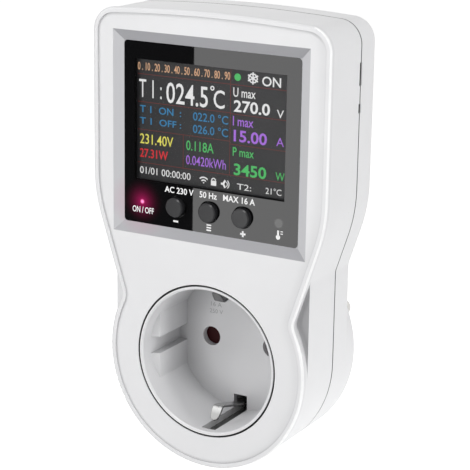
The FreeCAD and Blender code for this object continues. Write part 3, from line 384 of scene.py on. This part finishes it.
def fitted(mesh, left, right, low, high, depth):
    """Turn a flat mesh to face the front and stretch it to a box given in millimetres."""
    xs = [vertex.co.x for vertex in mesh.vertices]
    ys = [vertex.co.y for vertex in mesh.vertices]
    wider = (right - left) * MM / (max(xs) - min(xs))
    taller = (high - low) * MM / (max(ys) - min(ys))
    mesh.transform(Matrix.Translation((-min(xs), -min(ys), 0)))
    mesh.transform(Matrix.Diagonal((wider, taller, 1, 1)))
    mesh.transform(Matrix.Rotation(math.radians(90), 4, "X"))
    mesh.transform(Matrix.Translation((left * MM, depth, low * MM)))
    return mesh


def hardened(piece):
    """The plain mesh that an object's curve or modifier makes.  The object itself goes."""
    scene.collection.objects.link(piece)
    bpy.context.view_layer.update()
    mesh = bpy.data.meshes.new_from_object(piece.evaluated_get(bpy.context.evaluated_depsgraph_get()))
    bpy.data.objects.remove(piece)
    return mesh


def lettered(words, box, depth, weight=0.0):
    """Flat lettering as a mesh that fills its box."""
    curve = bpy.data.curves.new("lettering", "FONT")
    curve.body = words
    curve.offset = weight
    curve.resolution_u = 3
    return fitted(hardened(bpy.data.objects.new("lettering", curve)), *box, depth)


def settled(flat):
    """The finished flat mesh, with every face towards the front."""
    for face in flat.faces:
        face.normal_update()
        if face.normal.y > 0:
            face.normal_flip()
    mesh = bpy.data.meshes.new("flat")
    flat.to_mesh(mesh)
    flat.free()
    return mesh


def strokes(lines, width, depth):
    """Straight strokes of one width between points given in millimetres."""
    flat = bmesh.new()
    for x0, z0, x1, z1 in lines:
        length = math.hypot(x1 - x0, z1 - z0)
        side_x = (z1 - z0) / length * width / 2
        side_z = (x0 - x1) / length * width / 2
        corners = ((x0 + side_x, z0 + side_z), (x1 + side_x, z1 + side_z),
                   (x1 - side_x, z1 - side_z), (x0 - side_x, z0 - side_z))
        flat.faces.new([flat.verts.new((x * MM, depth, z * MM)) for x, z in corners])
    return settled(flat)


def arcs(x, z, bands, start, end, depth, steps=20):
    """Flat ring segments round a point, between pairs of radii in millimetres."""
    flat = bmesh.new()
    angles = [math.radians(start + (end - start) * step / steps) for step in range(steps + 1)]
    for inner, outer in bands:
        rows = []
        for radius in (outer, inner):
            points = [(x + radius * math.cos(angle), z + radius * math.sin(angle)) for angle in angles]
            rows.append([flat.verts.new((across * MM, depth, up * MM)) for across, up in points])
        for step in range(steps):
            flat.faces.new((rows[0][step], rows[0][step + 1], rows[1][step + 1], rows[1][step]))
    return settled(flat)


def laid(name, meshes, coat):
    """One piece of several meshes, carried by the case."""
    whole = bmesh.new()
    for mesh in meshes:
        whole.from_mesh(mesh)
    mesh = bpy.data.meshes.new(name)
    whole.to_mesh(mesh)
    whole.free()
    mesh.materials.append(coat.material)
    piece = bpy.data.objects.new(name, mesh)
    scene.collection.objects.link(piece)
    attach(piece, "case")
    return piece


# A mark is given by its box, or its points, in millimetres.  It stands a hair before the glass.
HAIR = 0.00002
SHOWN = screen_low[1] - HAIR
white_light = lit("white_light", (1, 1, 1), 0.95)
peach_light = lit("peach_light", (1.0, 0.58, 0.33), 0.80)
blue_light = lit("blue_light", (0.03, 0.30, 0.62), 0.80)
yellow_light = lit("yellow_light", (1.0, 0.93, 0.14), 0.90)
green_light = lit("green_light", (0.10, 0.72, 0.18), 0.80)
red_light = lit("red_light", (1.0, 0.02, 0.03), 0.75)
violet_light = lit("violet_light", (0.52, 0.20, 0.95), 0.85)
rule_light = lit("rule_light", (0.5, 0.05, 0.04), 0.30)

laid("screen_white", [
    lettered("T 1 :", (-22.6, -15.6, 68.7, 73.5), SHOWN),
    lettered("024.5", (-14.2, -1.6, 68.0, 73.5), SHOWN, 0.006),
    lettered("C", (0.1, 3.4, 68.2, 73.0), SHOWN, 0.006),
    arcs(-0.3, 73.3, ((0.3, 0.62),), 0, 360, SHOWN),
    lettered("ON", (14.2, 19.6, 75.4, 77.9), SHOWN, 0.01),
    lettered("U max", (5.9, 12.4, 71.8, 74.2), SHOWN, 0.006),
    lettered("270.0", (6.1, 16.6, 67.9, 71.0), SHOWN, 0.02),
    lettered("V", (18.6, 20.6, 67.7, 69.8), SHOWN),
    lettered("01/01 00:00:00", (-22.3, -6.6, 48.2, 50.1), SHOWN),
    lettered("21°C", (15.8, 20.4, 47.7, 49.4), SHOWN),
    lettered("T2:", (7.4, 11.6, 47.7, 49.3), SHOWN),
    arcs(-2.6, 47.9, ((0.0, 0.35), (0.75, 1.1), (1.5, 1.85)), 45, 135, SHOWN),
    strokes(((-0.4, 48.4, 1.2, 48.4),), 1.3, SHOWN),
    arcs(0.4, 49.1, ((0.45, 0.72),), 0, 180, SHOWN),
    strokes(((2.6, 48.6, 3.3, 48.6), (3.3, 48.6, 3.9, 49.6), (3.3, 48.6, 3.9, 47.6)), 0.55, SHOWN),
    arcs(3.7, 48.6, ((0.7, 0.95), (1.2, 1.45)), -50, 50, SHOWN),
], white_light)
laid("screen_peach", [
    lettered("0 . 10 . 20 . 30 . 40 . 50 . 60 . 70 . 80 . 90", (-23.0, 4.9, 75.9, 78.0), SHOWN, 0.012),
], peach_light)
laid("screen_blue", [
    lettered("T 1  ON  :", (-22.3, -9.6, 64.7, 66.6), SHOWN, 0.01),
    lettered("T 1  OFF :", (-22.3, -9.6, 61.6, 63.4), SHOWN, 0.01),
    lettered("022.0 °C", (-6.0, 4.5, 64.3, 66.6), SHOWN, 0.004),
    lettered("026.0 °C", (-6.0, 4.5, 61.0, 63.3), SHOWN, 0.004),
], blue_light)
laid("screen_yellow", [
    lettered("231.40V", (-22.3, -12.0, 56.3, 59.0), SHOWN, 0.004),
], yellow_light)
laid("screen_green", [
    lettered("0.118A", (-8.0, 0.3, 56.2, 58.8), SHOWN, 0.004),
    arcs(7.1, 76.9, ((0.0, 0.95),), 0, 360, SHOWN, 24),
    lettered("P max", (6.0, 12.2, 56.4, 58.7), SHOWN, 0.006),
    lettered("3450", (6.4, 15.9, 51.4, 54.5), SHOWN, 0.02),
    lettered("W", (18.6, 21.2, 51.6, 53.7), SHOWN),
], green_light)
laid("screen_red", [
    lettered("27.31W", (-22.3, -13.6, 52.6, 55.0), SHOWN, 0.012),
], red_light)
laid("screen_violet", [
    lettered("0.0420kWh", (-8.0, 4.0, 52.4, 54.9), SHOWN, 0.002),
    lettered("I max", (5.9, 11.9, 64.3, 66.8), SHOWN, 0.006),
    lettered("15.00", (6.2, 15.9, 60.2, 63.3), SHOWN, 0.02),
    lettered("A", (18.6, 20.8, 60.5, 62.7), SHOWN),
], violet_light)
laid("screen_rules", [strokes(
    ((-23.0, 74.9, 5.1, 74.9), (-23.0, 67.5, 5.1, 67.5), (-23.0, 60.1, 5.1, 60.1), (-23.0, 51.2, 21.9, 51.2),
     (5.1, 51.2, 5.1, 78.9), (5.1, 74.9, 21.9, 74.9), (5.1, 67.3, 21.9, 67.3), (5.1, 59.4, 21.9, 59.4),
     (-8.9, 51.2, -8.9, 60.1)), 0.16, SHOWN)], rule_light)


# Snow sign: a white six-armed star beside the green dot, part of the screen's lit picture.
# One arm with a bar across it repeats round the middle, as the panel draws it.
star = bpy.data.node_groups.new("snow_sign", "GeometryNodeTree")
star.interface.new_socket("Geometry", in_out="INPUT", socket_type="NodeSocketGeometry")
star.interface.new_socket("Geometry", in_out="OUTPUT", socket_type="NodeSocketGeometry")
star_sizes = {}
for label, kind, value in (
        ("Arms", "NodeSocketInt", 6), ("Arm length", "NodeSocketFloat", 0.00145),
        ("Arm width", "NodeSocketFloat", 0.00032), ("Twig length", "NodeSocketFloat", 0.0011),
        ("Hub radius", "NodeSocketFloat", 0.00001), ("Light", "NodeSocketMaterial", white_light.material)):
    wanted = star.interface.new_socket(label, in_out="INPUT", socket_type=kind)
    star_sizes[wanted.identifier] = value


def grown(kind, feeds, **settings):
    """The result of a node in the star's tree, with its settings and what feeds it."""
    node = star.nodes.new(kind)
    for name, value in settings.items():
        setattr(node, name, value)
    for label, value in feeds.items():
        fed(node.inputs[label], value)
    return node.outputs[0]


TWIG_SPOT = 1.35
given = star.nodes.new("NodeGroupInput").outputs
arm_half = grown("ShaderNodeMath", {0: given["Arm length"], 1: 0.5}, operation="MULTIPLY")
arm_middle = grown("ShaderNodeCombineXYZ", {"Y": arm_half})
bar = grown("GeometryNodeMeshGrid", {
    "Vertices X": 2, "Vertices Y": 2, "Size X": given["Arm width"], "Size Y": given["Arm length"]})
arm = grown("GeometryNodeTransform", {"Geometry": bar, "Translation": arm_middle})
twig_bar = grown("GeometryNodeMeshGrid", {
    "Vertices X": 2, "Vertices Y": 2, "Size X": given["Twig length"], "Size Y": given["Arm width"]})
twig_spot = grown("ShaderNodeVectorMath", {0: arm_middle, "Scale": TWIG_SPOT}, operation="SCALE")
twig = grown("GeometryNodeTransform", {"Geometry": twig_bar, "Translation": twig_spot})
branch = grown("GeometryNodeJoinGeometry", {0: arm})
fed(branch.node.inputs[0], twig)
hub = grown("GeometryNodeMeshCircle", {"Vertices": given["Arms"], "Radius": given["Hub radius"]})
share = grown("ShaderNodeMath", {0: 2 * math.pi, 1: given["Arms"]}, operation="DIVIDE")
number = grown("GeometryNodeInputIndex", {})
angle = grown("ShaderNodeMath", {0: number, 1: share}, operation="MULTIPLY")
turn = grown("ShaderNodeCombineXYZ", {"Z": angle})
around = grown("GeometryNodeInstanceOnPoints", {"Points": hub, "Instance": branch, "Rotation": turn})
real = grown("GeometryNodeRealizeInstances", {0: around})
painted = grown("GeometryNodeSetMaterial", {"Geometry": real, "Material": given["Light"]})
fed(star.nodes.new("NodeGroupOutput").inputs[0], painted)

snow_seed = bpy.data.objects.new("snow_seed", bpy.data.meshes.new("snow_seed"))
growth = snow_seed.modifiers.new("snow_sign", "NODES")
growth.node_group = star
for identifier, value in star_sizes.items():
    growth[identifier] = value
laid("snow_sign", [fitted(hardened(snow_seed), 10.0, 13.1, 75.5, 78.6, SHOWN)], white_light)


# Print on the window: white marks for the keys and a rating line, silk-screened in one colour.
# The key marks are a minus, three menu bars and a plus; a thermometer stands by the right lamp.
INK = 0.000005
PRINTED = window_low[1] - INK
glowing_ink = coated("glowing_ink", roughness=0.55)
ink_patches = spread(grain(glowing_ink.place, 0.0005), 0, 1)
fed(glowing_ink.surface["Base Color"], tinted(ink_patches, (0.72, 0.72, 0.72), (0.62, 0.62, 0.62)))
# The ink gives off a faint glow: painted light that makes the white read brighter.
fed(glowing_ink.surface["Emission Color"], (1, 1, 1))
fed(glowing_ink.surface["Emission Strength"], 0.28)
laid("window_print", [
    lettered("AC 230 V   50 Hz   MAX 16 A", (-13.6, 13.6, 44.5, 46.2), PRINTED, 0.016),
    strokes(((-10.9, 36.95, -9.4, 36.95),), 0.5, PRINTED),
    strokes(((-0.7, 37.4, 0.7, 37.4), (-0.7, 36.7, 0.7, 36.7), (-0.7, 36.0, 0.7, 36.0)), 0.38, PRINTED),
    strokes(((9.4, 36.5, 11.0, 36.5), (10.2, 35.7, 10.2, 37.3)), 0.5, PRINTED),
    arcs(20.5, 37.2, ((0.0, 0.62),), 0, 360, PRINTED),
    strokes(((20.5, 37.2, 20.5, 39.0),), 0.5, PRINTED),
    strokes(((21.2, 38.2, 21.9, 38.2), (21.2, 38.8, 21.9, 38.8)), 0.22, PRINTED),
    lettered("ON / OFF", (-23.7, -17.0, 37.8, 39.5), PRINTED, 0.014),
], glowing_ink)


# Keys: three round caps moulded in dark grey plastic, with a worn-smooth top.
# Each rides on a plunger in its switch on the display board.
key_grey = moulded("key_grey", (0.024, 0.024, 0.026), (0.019, 0.019, 0.021), roughness=0.24,
                   texture=0.0002, depth=0.000003)
fed(key_grey.surface["Specular IOR Level"], 0.40)
dress(key_grey, "minus_key", "menu_key", "plus_key")
switch_black = moulded("switch_black", (0.02, 0.02, 0.02), (0.03, 0.03, 0.03), roughness=0.5)
dress(switch_black, "minus_plunger", "menu_plunger", "plus_plunger", "sounder", "board_header")


# Lamps: round light-emitting diodes under the window.  The left one is lit pink, the right
# one is off and milky grey.
lamp_lit = coated("lamp_lit", roughness=0.3)
fed(lamp_lit.surface["Base Color"], (0.4, 0.05, 0.15))
fed(lamp_lit.surface["Emission Color"], (1.0, 0.28, 0.55))
fed(lamp_lit.surface["Emission Strength"], spread(grain(lamp_lit.place, 0.0008), 1.5, 1.7))
dress(lamp_lit, "power_lamp")
lamp_clear = moulded("lamp_clear", (0.42, 0.42, 0.43), (0.36, 0.36, 0.37), roughness=0.25)
dress(lamp_clear, "status_lamp")


# Socket insert: one white moulding with the round recess, its flats, guide grooves, clip pockets
# and floor, screwed to the front cover by two ears.  It is a little greyer than the shells, with
# painted shade deep in the recess and in its corners, and its rating is moulded on the floor.  The
# pocket walls that face right are painted light, the rest of the pockets and the ring's outside in
# the gap are painted shade.
RECESS_REACH = 0.010
RECESS_SHADE = (0.55, 0.55, 0.56)
RECESS_DEPTH = 0.0195
RECESS_WALL = 0.01985
RING_EDGE = 0.02055
RING_FACE = 0.0005
POCKET_HALF = 0.00212
POCKET_MOUTH = 0.0021
POCKET_SHADE = (0.14, 0.14, 0.14)
POCKET_LIGHT = (0.95, 0.95, 0.95)
TOWARDS_RIGHT = 0.5
insert_white = moulded("insert_white", (0.78, 0.78, 0.79), (0.75, 0.75, 0.76), roughness=0.36)
# Painted shade deep in the recess and in its corners.
paint_crease_shade(insert_white, RECESS_REACH, RECESS_SHADE)
x, y, z = axes(insert_white.place)
outside = above(distance(insert_white.place, "socket_insert"), RING_EDGE)
recoloured(insert_white, both(outside, above(y, front + RING_FACE)), GAP_SHADE)
pocket = both(below(worked("ABSOLUTE", x), POCKET_HALF), above(worked("ABSOLUTE", z), RECESS_WALL))
recoloured(insert_white, both(pocket, above(y, front + POCKET_MOUTH)), POCKET_SHADE)
turned = axes(insert_white.normal)[0]
recoloured(insert_white, both(pocket, above(turned, TOWARDS_RIGHT)), POCKET_LIGHT)
dress(insert_white, "socket_insert")

RECESS_FLOOR = front + RECESS_DEPTH - HAIR
# The rating is flat lettering whose grey is painted shade, standing in for the relief of moulded letters.
rating_shade = moulded("rating_shade", (0.46, 0.46, 0.47), (0.44, 0.44, 0.45), roughness=0.45)
laid("floor_rating", [
    lettered("16 A", (-9.8, -6.4, 8.8, 10.0), RECESS_FLOOR),
    lettered("250 V", (-10.2, -6.0, 6.8, 8.0), RECESS_FLOOR),
], rating_shade)


# Shutter: a turning disc in dark red plastic that closes both pin holes from behind.
# The carrier behind it, with the hub it turns on, is an off-white moulding.
shutter_red = moulded("shutter_red", (0.05, 0.004, 0.006), (0.04, 0.003, 0.005), roughness=0.6)
fed(shutter_red.surface["Specular IOR Level"], 0.25)
dress(shutter_red, "shutter")
carrier_white = moulded("carrier_white", (0.62, 0.62, 0.6), (0.58, 0.58, 0.56), roughness=0.5)
dress(carrier_white, "contact_base")


# Socket earth clip: one nickel-plated spring strip, bent to a tongue above and below and joined
# by a bridge behind the floor.  The knees carry a painted highlight, and the upper tongue, the arms
# in the pockets and the cut edges carry painted shade.  The plug's own earth clip and post are alike.
LINE_WIDTH = 0.0006
LINE_SMOOTHER = 0.05
LINE_ROUGHER = 0.08


def rolled(name, light, dark, roughness, stretch, depth=0.0000015):
    """Metal with fine drawn lines and a faint change of tone."""
    coat = coated(name, roughness, metallic=1.0)
    lines = grain(coat.place, LINE_WIDTH, FINE_DETAIL, stretch)
    fed(coat.surface["Base Color"], tinted(spread(lines, 0, 1), light, dark))
    fed(coat.surface["Roughness"], spread(lines, roughness - LINE_SMOOTHER, roughness + LINE_ROUGHER))
    relief(coat, lines, depth)
    return coat


def softened(points, times=4):
    """The same line with its corners cut again and again, until they are round."""
    for _ in range(times):
        cut = [points[0]]
        for first, second in zip(points, points[1:]):
            for share in (0.25, 0.75):
                cut.append(tuple(a + (b - a) * share for a, b in zip(first, second)))
        points = cut + [points[-1]]
    return points


def bent_strip(points, thickness, edge):
    """A bent strip with eased edges along points of depth, height and half width, in millimetres."""
    strip = bmesh.new()
    half_thick = thickness / 2
    rings = []
    for index, (depth, height, half_wide) in enumerate(points):
        before = points[max(index - 1, 0)]
        after = points[min(index + 1, len(points) - 1)]
        length = math.hypot(after[0] - before[0], after[1] - before[1])
        off_depth = (before[1] - after[1]) / length
        off_height = (after[0] - before[0]) / length
        ease = min(edge, half_wide / 2)
        right = ((half_wide - ease, half_thick), (half_wide, half_thick - ease),
                 (half_wide, ease - half_thick), (half_wide - ease, -half_thick))
        left = tuple((-across, off) for across, off in reversed(right))
        corners = [(across * MM, front + (depth + off_depth * off) * MM, (height + off_height * off) * MM)
                   for across, off in right + left]
        rings.append([strip.verts.new(corner) for corner in corners])
    for ring, following in zip(rings, rings[1:]):
        for k in range(len(ring)):
            side = strip.faces.new((ring[k], ring[k - 1], following[k - 1], following[k]))
            side.smooth = True
            strip.edges.get((ring[k], following[k])).smooth = False
    strip.faces.new(rings[0])
    strip.faces.new(rings[-1][::-1])
    bmesh.ops.recalc_face_normals(strip, faces=strip.faces)
    mesh = bpy.data.meshes.new("strip")
    strip.to_mesh(mesh)
    strip.free()
    return mesh


KNEE = (0.0152, 0.0166)
KNEE_HIGHLIGHT = (0.88, 0.88, 0.87)
UPPER_SHADE = (0.30, 0.30, 0.30)
ARM = (0.0070, 0.0086)
ARM_SHADE = (0.42, 0.42, 0.42)
CUT_EDGE_TURN = 0.6
CUT_EDGE_SHADE = (0.16, 0.16, 0.16)
clip_steel = rolled("clip_steel", (0.58, 0.58, 0.57), (0.48, 0.48, 0.47), roughness=0.30,
                    stretch=(1, 0.06, 0.06))
_, y, z = axes(clip_steel.place)
turned = axes(clip_steel.normal)[0]
# Painted highlight on the knees; painted shade on the upper tongue, the arms in the pockets and the cut
# edges.
recoloured(clip_steel, spread(worked("ABSOLUTE", z), 1.0, 0.0, *KNEE), KNEE_HIGHLIGHT)
recoloured(clip_steel, above(z, 0.0), UPPER_SHADE)
recoloured(clip_steel, spread(y, 0.0, 1.0, front + ARM[0], front + ARM[1]), ARM_SHADE)
recoloured(clip_steel, above(worked("ABSOLUTE", turned), CUT_EDGE_TURN), CUT_EDGE_SHADE)
dress(clip_steel, "plug_earth_clip", "earth_post")

# Depth behind the insert's front, height and half width of the upper tongue, in millimetres.
STRIP_THICKNESS = 0.6
STRIP_EDGE = 0.12
STRIP_HALF = 1.5
TONGUE = (
    (4.8, 18.2, 0.35), (5.2, 17.8, 1.2), (6.3, 16.4, STRIP_HALF), (7.5, 14.8, STRIP_HALF),
    (9.6, 15.4, STRIP_HALF), (19.3, 17.9, STRIP_HALF))
BACK_BEND = ((-0.9, 17.9), (-0.26, 17.64), (0.0, 17.0))
bridge = (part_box("socket_earth_clip")[1][1] - front) / MM - STRIP_THICKNESS / 2
spring = softened(TONGUE) + [(bridge + back, height, STRIP_HALF) for back, height in BACK_BEND]
spring += [(depth, -height, half_wide) for depth, height, half_wide in reversed(spring)]
earth_clip = laid("earth_clip", [bent_strip(spring, STRIP_THICKNESS, STRIP_EDGE)], clip_steel)
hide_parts("socket_earth_clip")


# Metal parts: solid nickel-plated pins, stamped brass contacts and busbars, zinc-plated screws
# and springs, and cans of rolled steel.  Drawing and rolling leave fine lines along each of them.
pin_nickel = rolled("pin_nickel", (0.70, 0.69, 0.67), (0.62, 0.61, 0.59), roughness=0.22,
                    stretch=(1, 0.05, 1))
dress(pin_nickel, "live_pin", "neutral_pin")
contact_brass = rolled("contact_brass", (0.72, 0.52, 0.24), (0.62, 0.44, 0.2), roughness=0.32,
                       stretch=(1, 0.1, 0.1))
dress(contact_brass, "live_contact", "neutral_contact", "live_busbar", "neutral_busbar")
screw_zinc = rolled("screw_zinc", (0.55, 0.55, 0.56), (0.45, 0.45, 0.46), roughness=0.34,
                    stretch=(1, 0.2, 1))
dress(screw_zinc, "case_screws", "insert_screws", "board_screws", "shutter_spring")
can_steel = rolled("can_steel", (0.6, 0.6, 0.6), (0.5, 0.5, 0.5), roughness=0.38, stretch=(0.1, 1, 1))
dress(can_steel, "radio_module", "clock_cell", "key_switches", "fuse", "shunt")


# Boards and what stands on them: green solder mask over copper tracks, and components in
# moulded or dipped cases.  All of it is closed in by the shells.
board_green = moulded("board_green", (0.012, 0.12, 0.045), (0.016, 0.15, 0.055), roughness=0.3)
tracks = board_green.place.id_data.nodes.new("ShaderNodeTexBrick")
fed(tracks.inputs["Scale"], 260.0)
fed(tracks.inputs["Mortar Size"], 0.06)
fed(tracks.inputs["Vector"], board_green.place)
recoloured(board_green, tracks.outputs["Fac"], (0.03, 0.22, 0.09))
dress(board_green, "display_board", "power_board")
for name, light, dark, roughness, member in (
        ("relay_blue", (0.02, 0.07, 0.32), (0.015, 0.055, 0.27), 0.35, "relay"),
        ("core_ferrite", (0.03, 0.03, 0.032), (0.045, 0.045, 0.047), 0.6, "transformer"),
        ("sleeve_black", (0.015, 0.015, 0.02), (0.02, 0.02, 0.028), 0.25, "capacitor"),
        ("disc_blue", (0.02, 0.09, 0.3), (0.015, 0.07, 0.24), 0.45, "varistor"),
        ("bead_black", (0.012, 0.012, 0.012), (0.018, 0.018, 0.018), 0.4, "air_sensor")):
    dress(moulded(name, light, dark, roughness), member)


# Setting: a pale floor well below the part and a white surround, with soft light from above and
# in front, a fill at the left, lights at the right and low right, and a tall card at the left
# whose reflection lies on the right part of the window.
FLOOR_LEVEL = -0.10
FLOOR_HALF = 4
FLOOR_GLOW = 0.6
floor_mesh = bpy.data.meshes.new("floor")
flat = bmesh.new()
flat.faces.new([flat.verts.new((across * FLOOR_HALF, along * FLOOR_HALF, FLOOR_LEVEL))
                for across, along in ((-1, -1), (1, -1), (1, 1), (-1, 1))])
flat.to_mesh(floor_mesh)
flat.free()
floor = bpy.data.objects.new("floor", floor_mesh)
scene.collection.objects.link(floor)
floor_pale = coated("floor_pale", roughness=0.9)
fed(floor_pale.surface["Specular IOR Level"], 0.0)
floor_tone = grain(floor_pale.place, 0.4)
fed(floor_pale.surface["Base Color"], tinted(floor_tone, (0.90, 0.90, 0.90), (0.88, 0.88, 0.88)))
fed(floor_pale.surface["Emission Color"], (1, 1, 1))
sight = floor_pale.place.id_data.nodes.new("ShaderNodeLightPath").outputs
fed(floor_pale.surface["Emission Strength"], worked("MULTIPLY", sight["Is Camera Ray"], FLOOR_GLOW))
floor_mesh.materials.append(floor_pale.material)
floor.visible_glossy = False

# Glossy faces mirror a surround that is bright behind and above, and almost black in front.
BACK_LIGHT = (0.03, 1.0)
BACK_SPAN = (-0.6, 0.0)
TOP_LIGHT = (0.0, 0.9)
TOP_SPAN = (0.15, 0.6)
SPILLED_LIGHT = 0.50
world = bpy.data.worlds.new("surround")
world.use_nodes = True
scene.world = world
surround = world.node_tree.nodes["Background"].inputs
sight = world.node_tree.nodes.new("ShaderNodeLightPath").outputs
_, back, up = axes(world.node_tree.nodes.new("ShaderNodeTexCoord").outputs["Generated"])
bright_back = spread(back, *BACK_LIGHT, *BACK_SPAN)
bright_top = spread(up, *TOP_LIGHT, *TOP_SPAN)
mirrored = worked("MULTIPLY", worked("MAXIMUM", bright_back, bright_top), sight["Is Glossy Ray"])
direct = worked("MAXIMUM", sight["Is Camera Ray"], sight["Is Transmission Ray"])
spilled = worked("MULTIPLY", sight["Is Diffuse Ray"], SPILLED_LIGHT)
fed(surround["Color"], (1, 1, 1))
fed(surround["Strength"], worked("MAXIMUM", worked("MAXIMUM", mirrored, direct), spilled))


def softbox(name, spot, aim, width, height, watts):
    """A rectangular lamp that faces its aim."""
    light = bpy.data.lights.new(name, "AREA")
    light.shape = "RECTANGLE"
    light.size = width
    light.size_y = height
    light.energy = watts
    lamp = bpy.data.objects.new(name, light)
    scene.collection.objects.link(lamp)
    lamp.location = spot
    lamp.rotation_euler = (Vector(spot) - Vector(aim)).to_track_quat("Z", "Y").to_euler()
    return lamp


softbox("top_light", (0.15, -0.55, 0.85), (0, -0.02, 0.03), 0.45, 0.3, watts=2.5)
softbox("fill_light", (-0.52, -0.50, 0.22), (0, -0.02, 0.02), 0.25, 0.25, watts=1.1)
softbox("side_light", (0.9, -0.25, 0.02), (0, -0.02, 0.01), 0.15, 0.2, watts=2.2)
low_light = softbox("low_light", (0.085, -0.02, -0.080), (0.03, -0.02, -0.01), 0.08, 0.05, watts=0.022)
low_light.visible_camera = False
softbox("window_card", (-0.235, front - 0.502, -0.06), (-0.235, 0, -0.06), 0.148, 0.36, watts=0.52)

# The camera stands to the right of the part and above it, as the photograph was taken.
view_camera = bpy.data.cameras.new("camera")
view_camera.lens = 129.68
view_camera.sensor_width = 36.0
view_camera.clip_start = 0.01
camera = bpy.data.objects.new("camera", view_camera)
scene.collection.objects.link(camera)
camera.location = (0.21681, front - 0.36573, 0.15192)
camera.rotation_euler = [math.radians(angle) for angle in (74.6353, -0.877, 29.9003)]
scene.camera = camera
scene.view_settings.view_transform = "Standard"

bpy.context.view_layer.update()
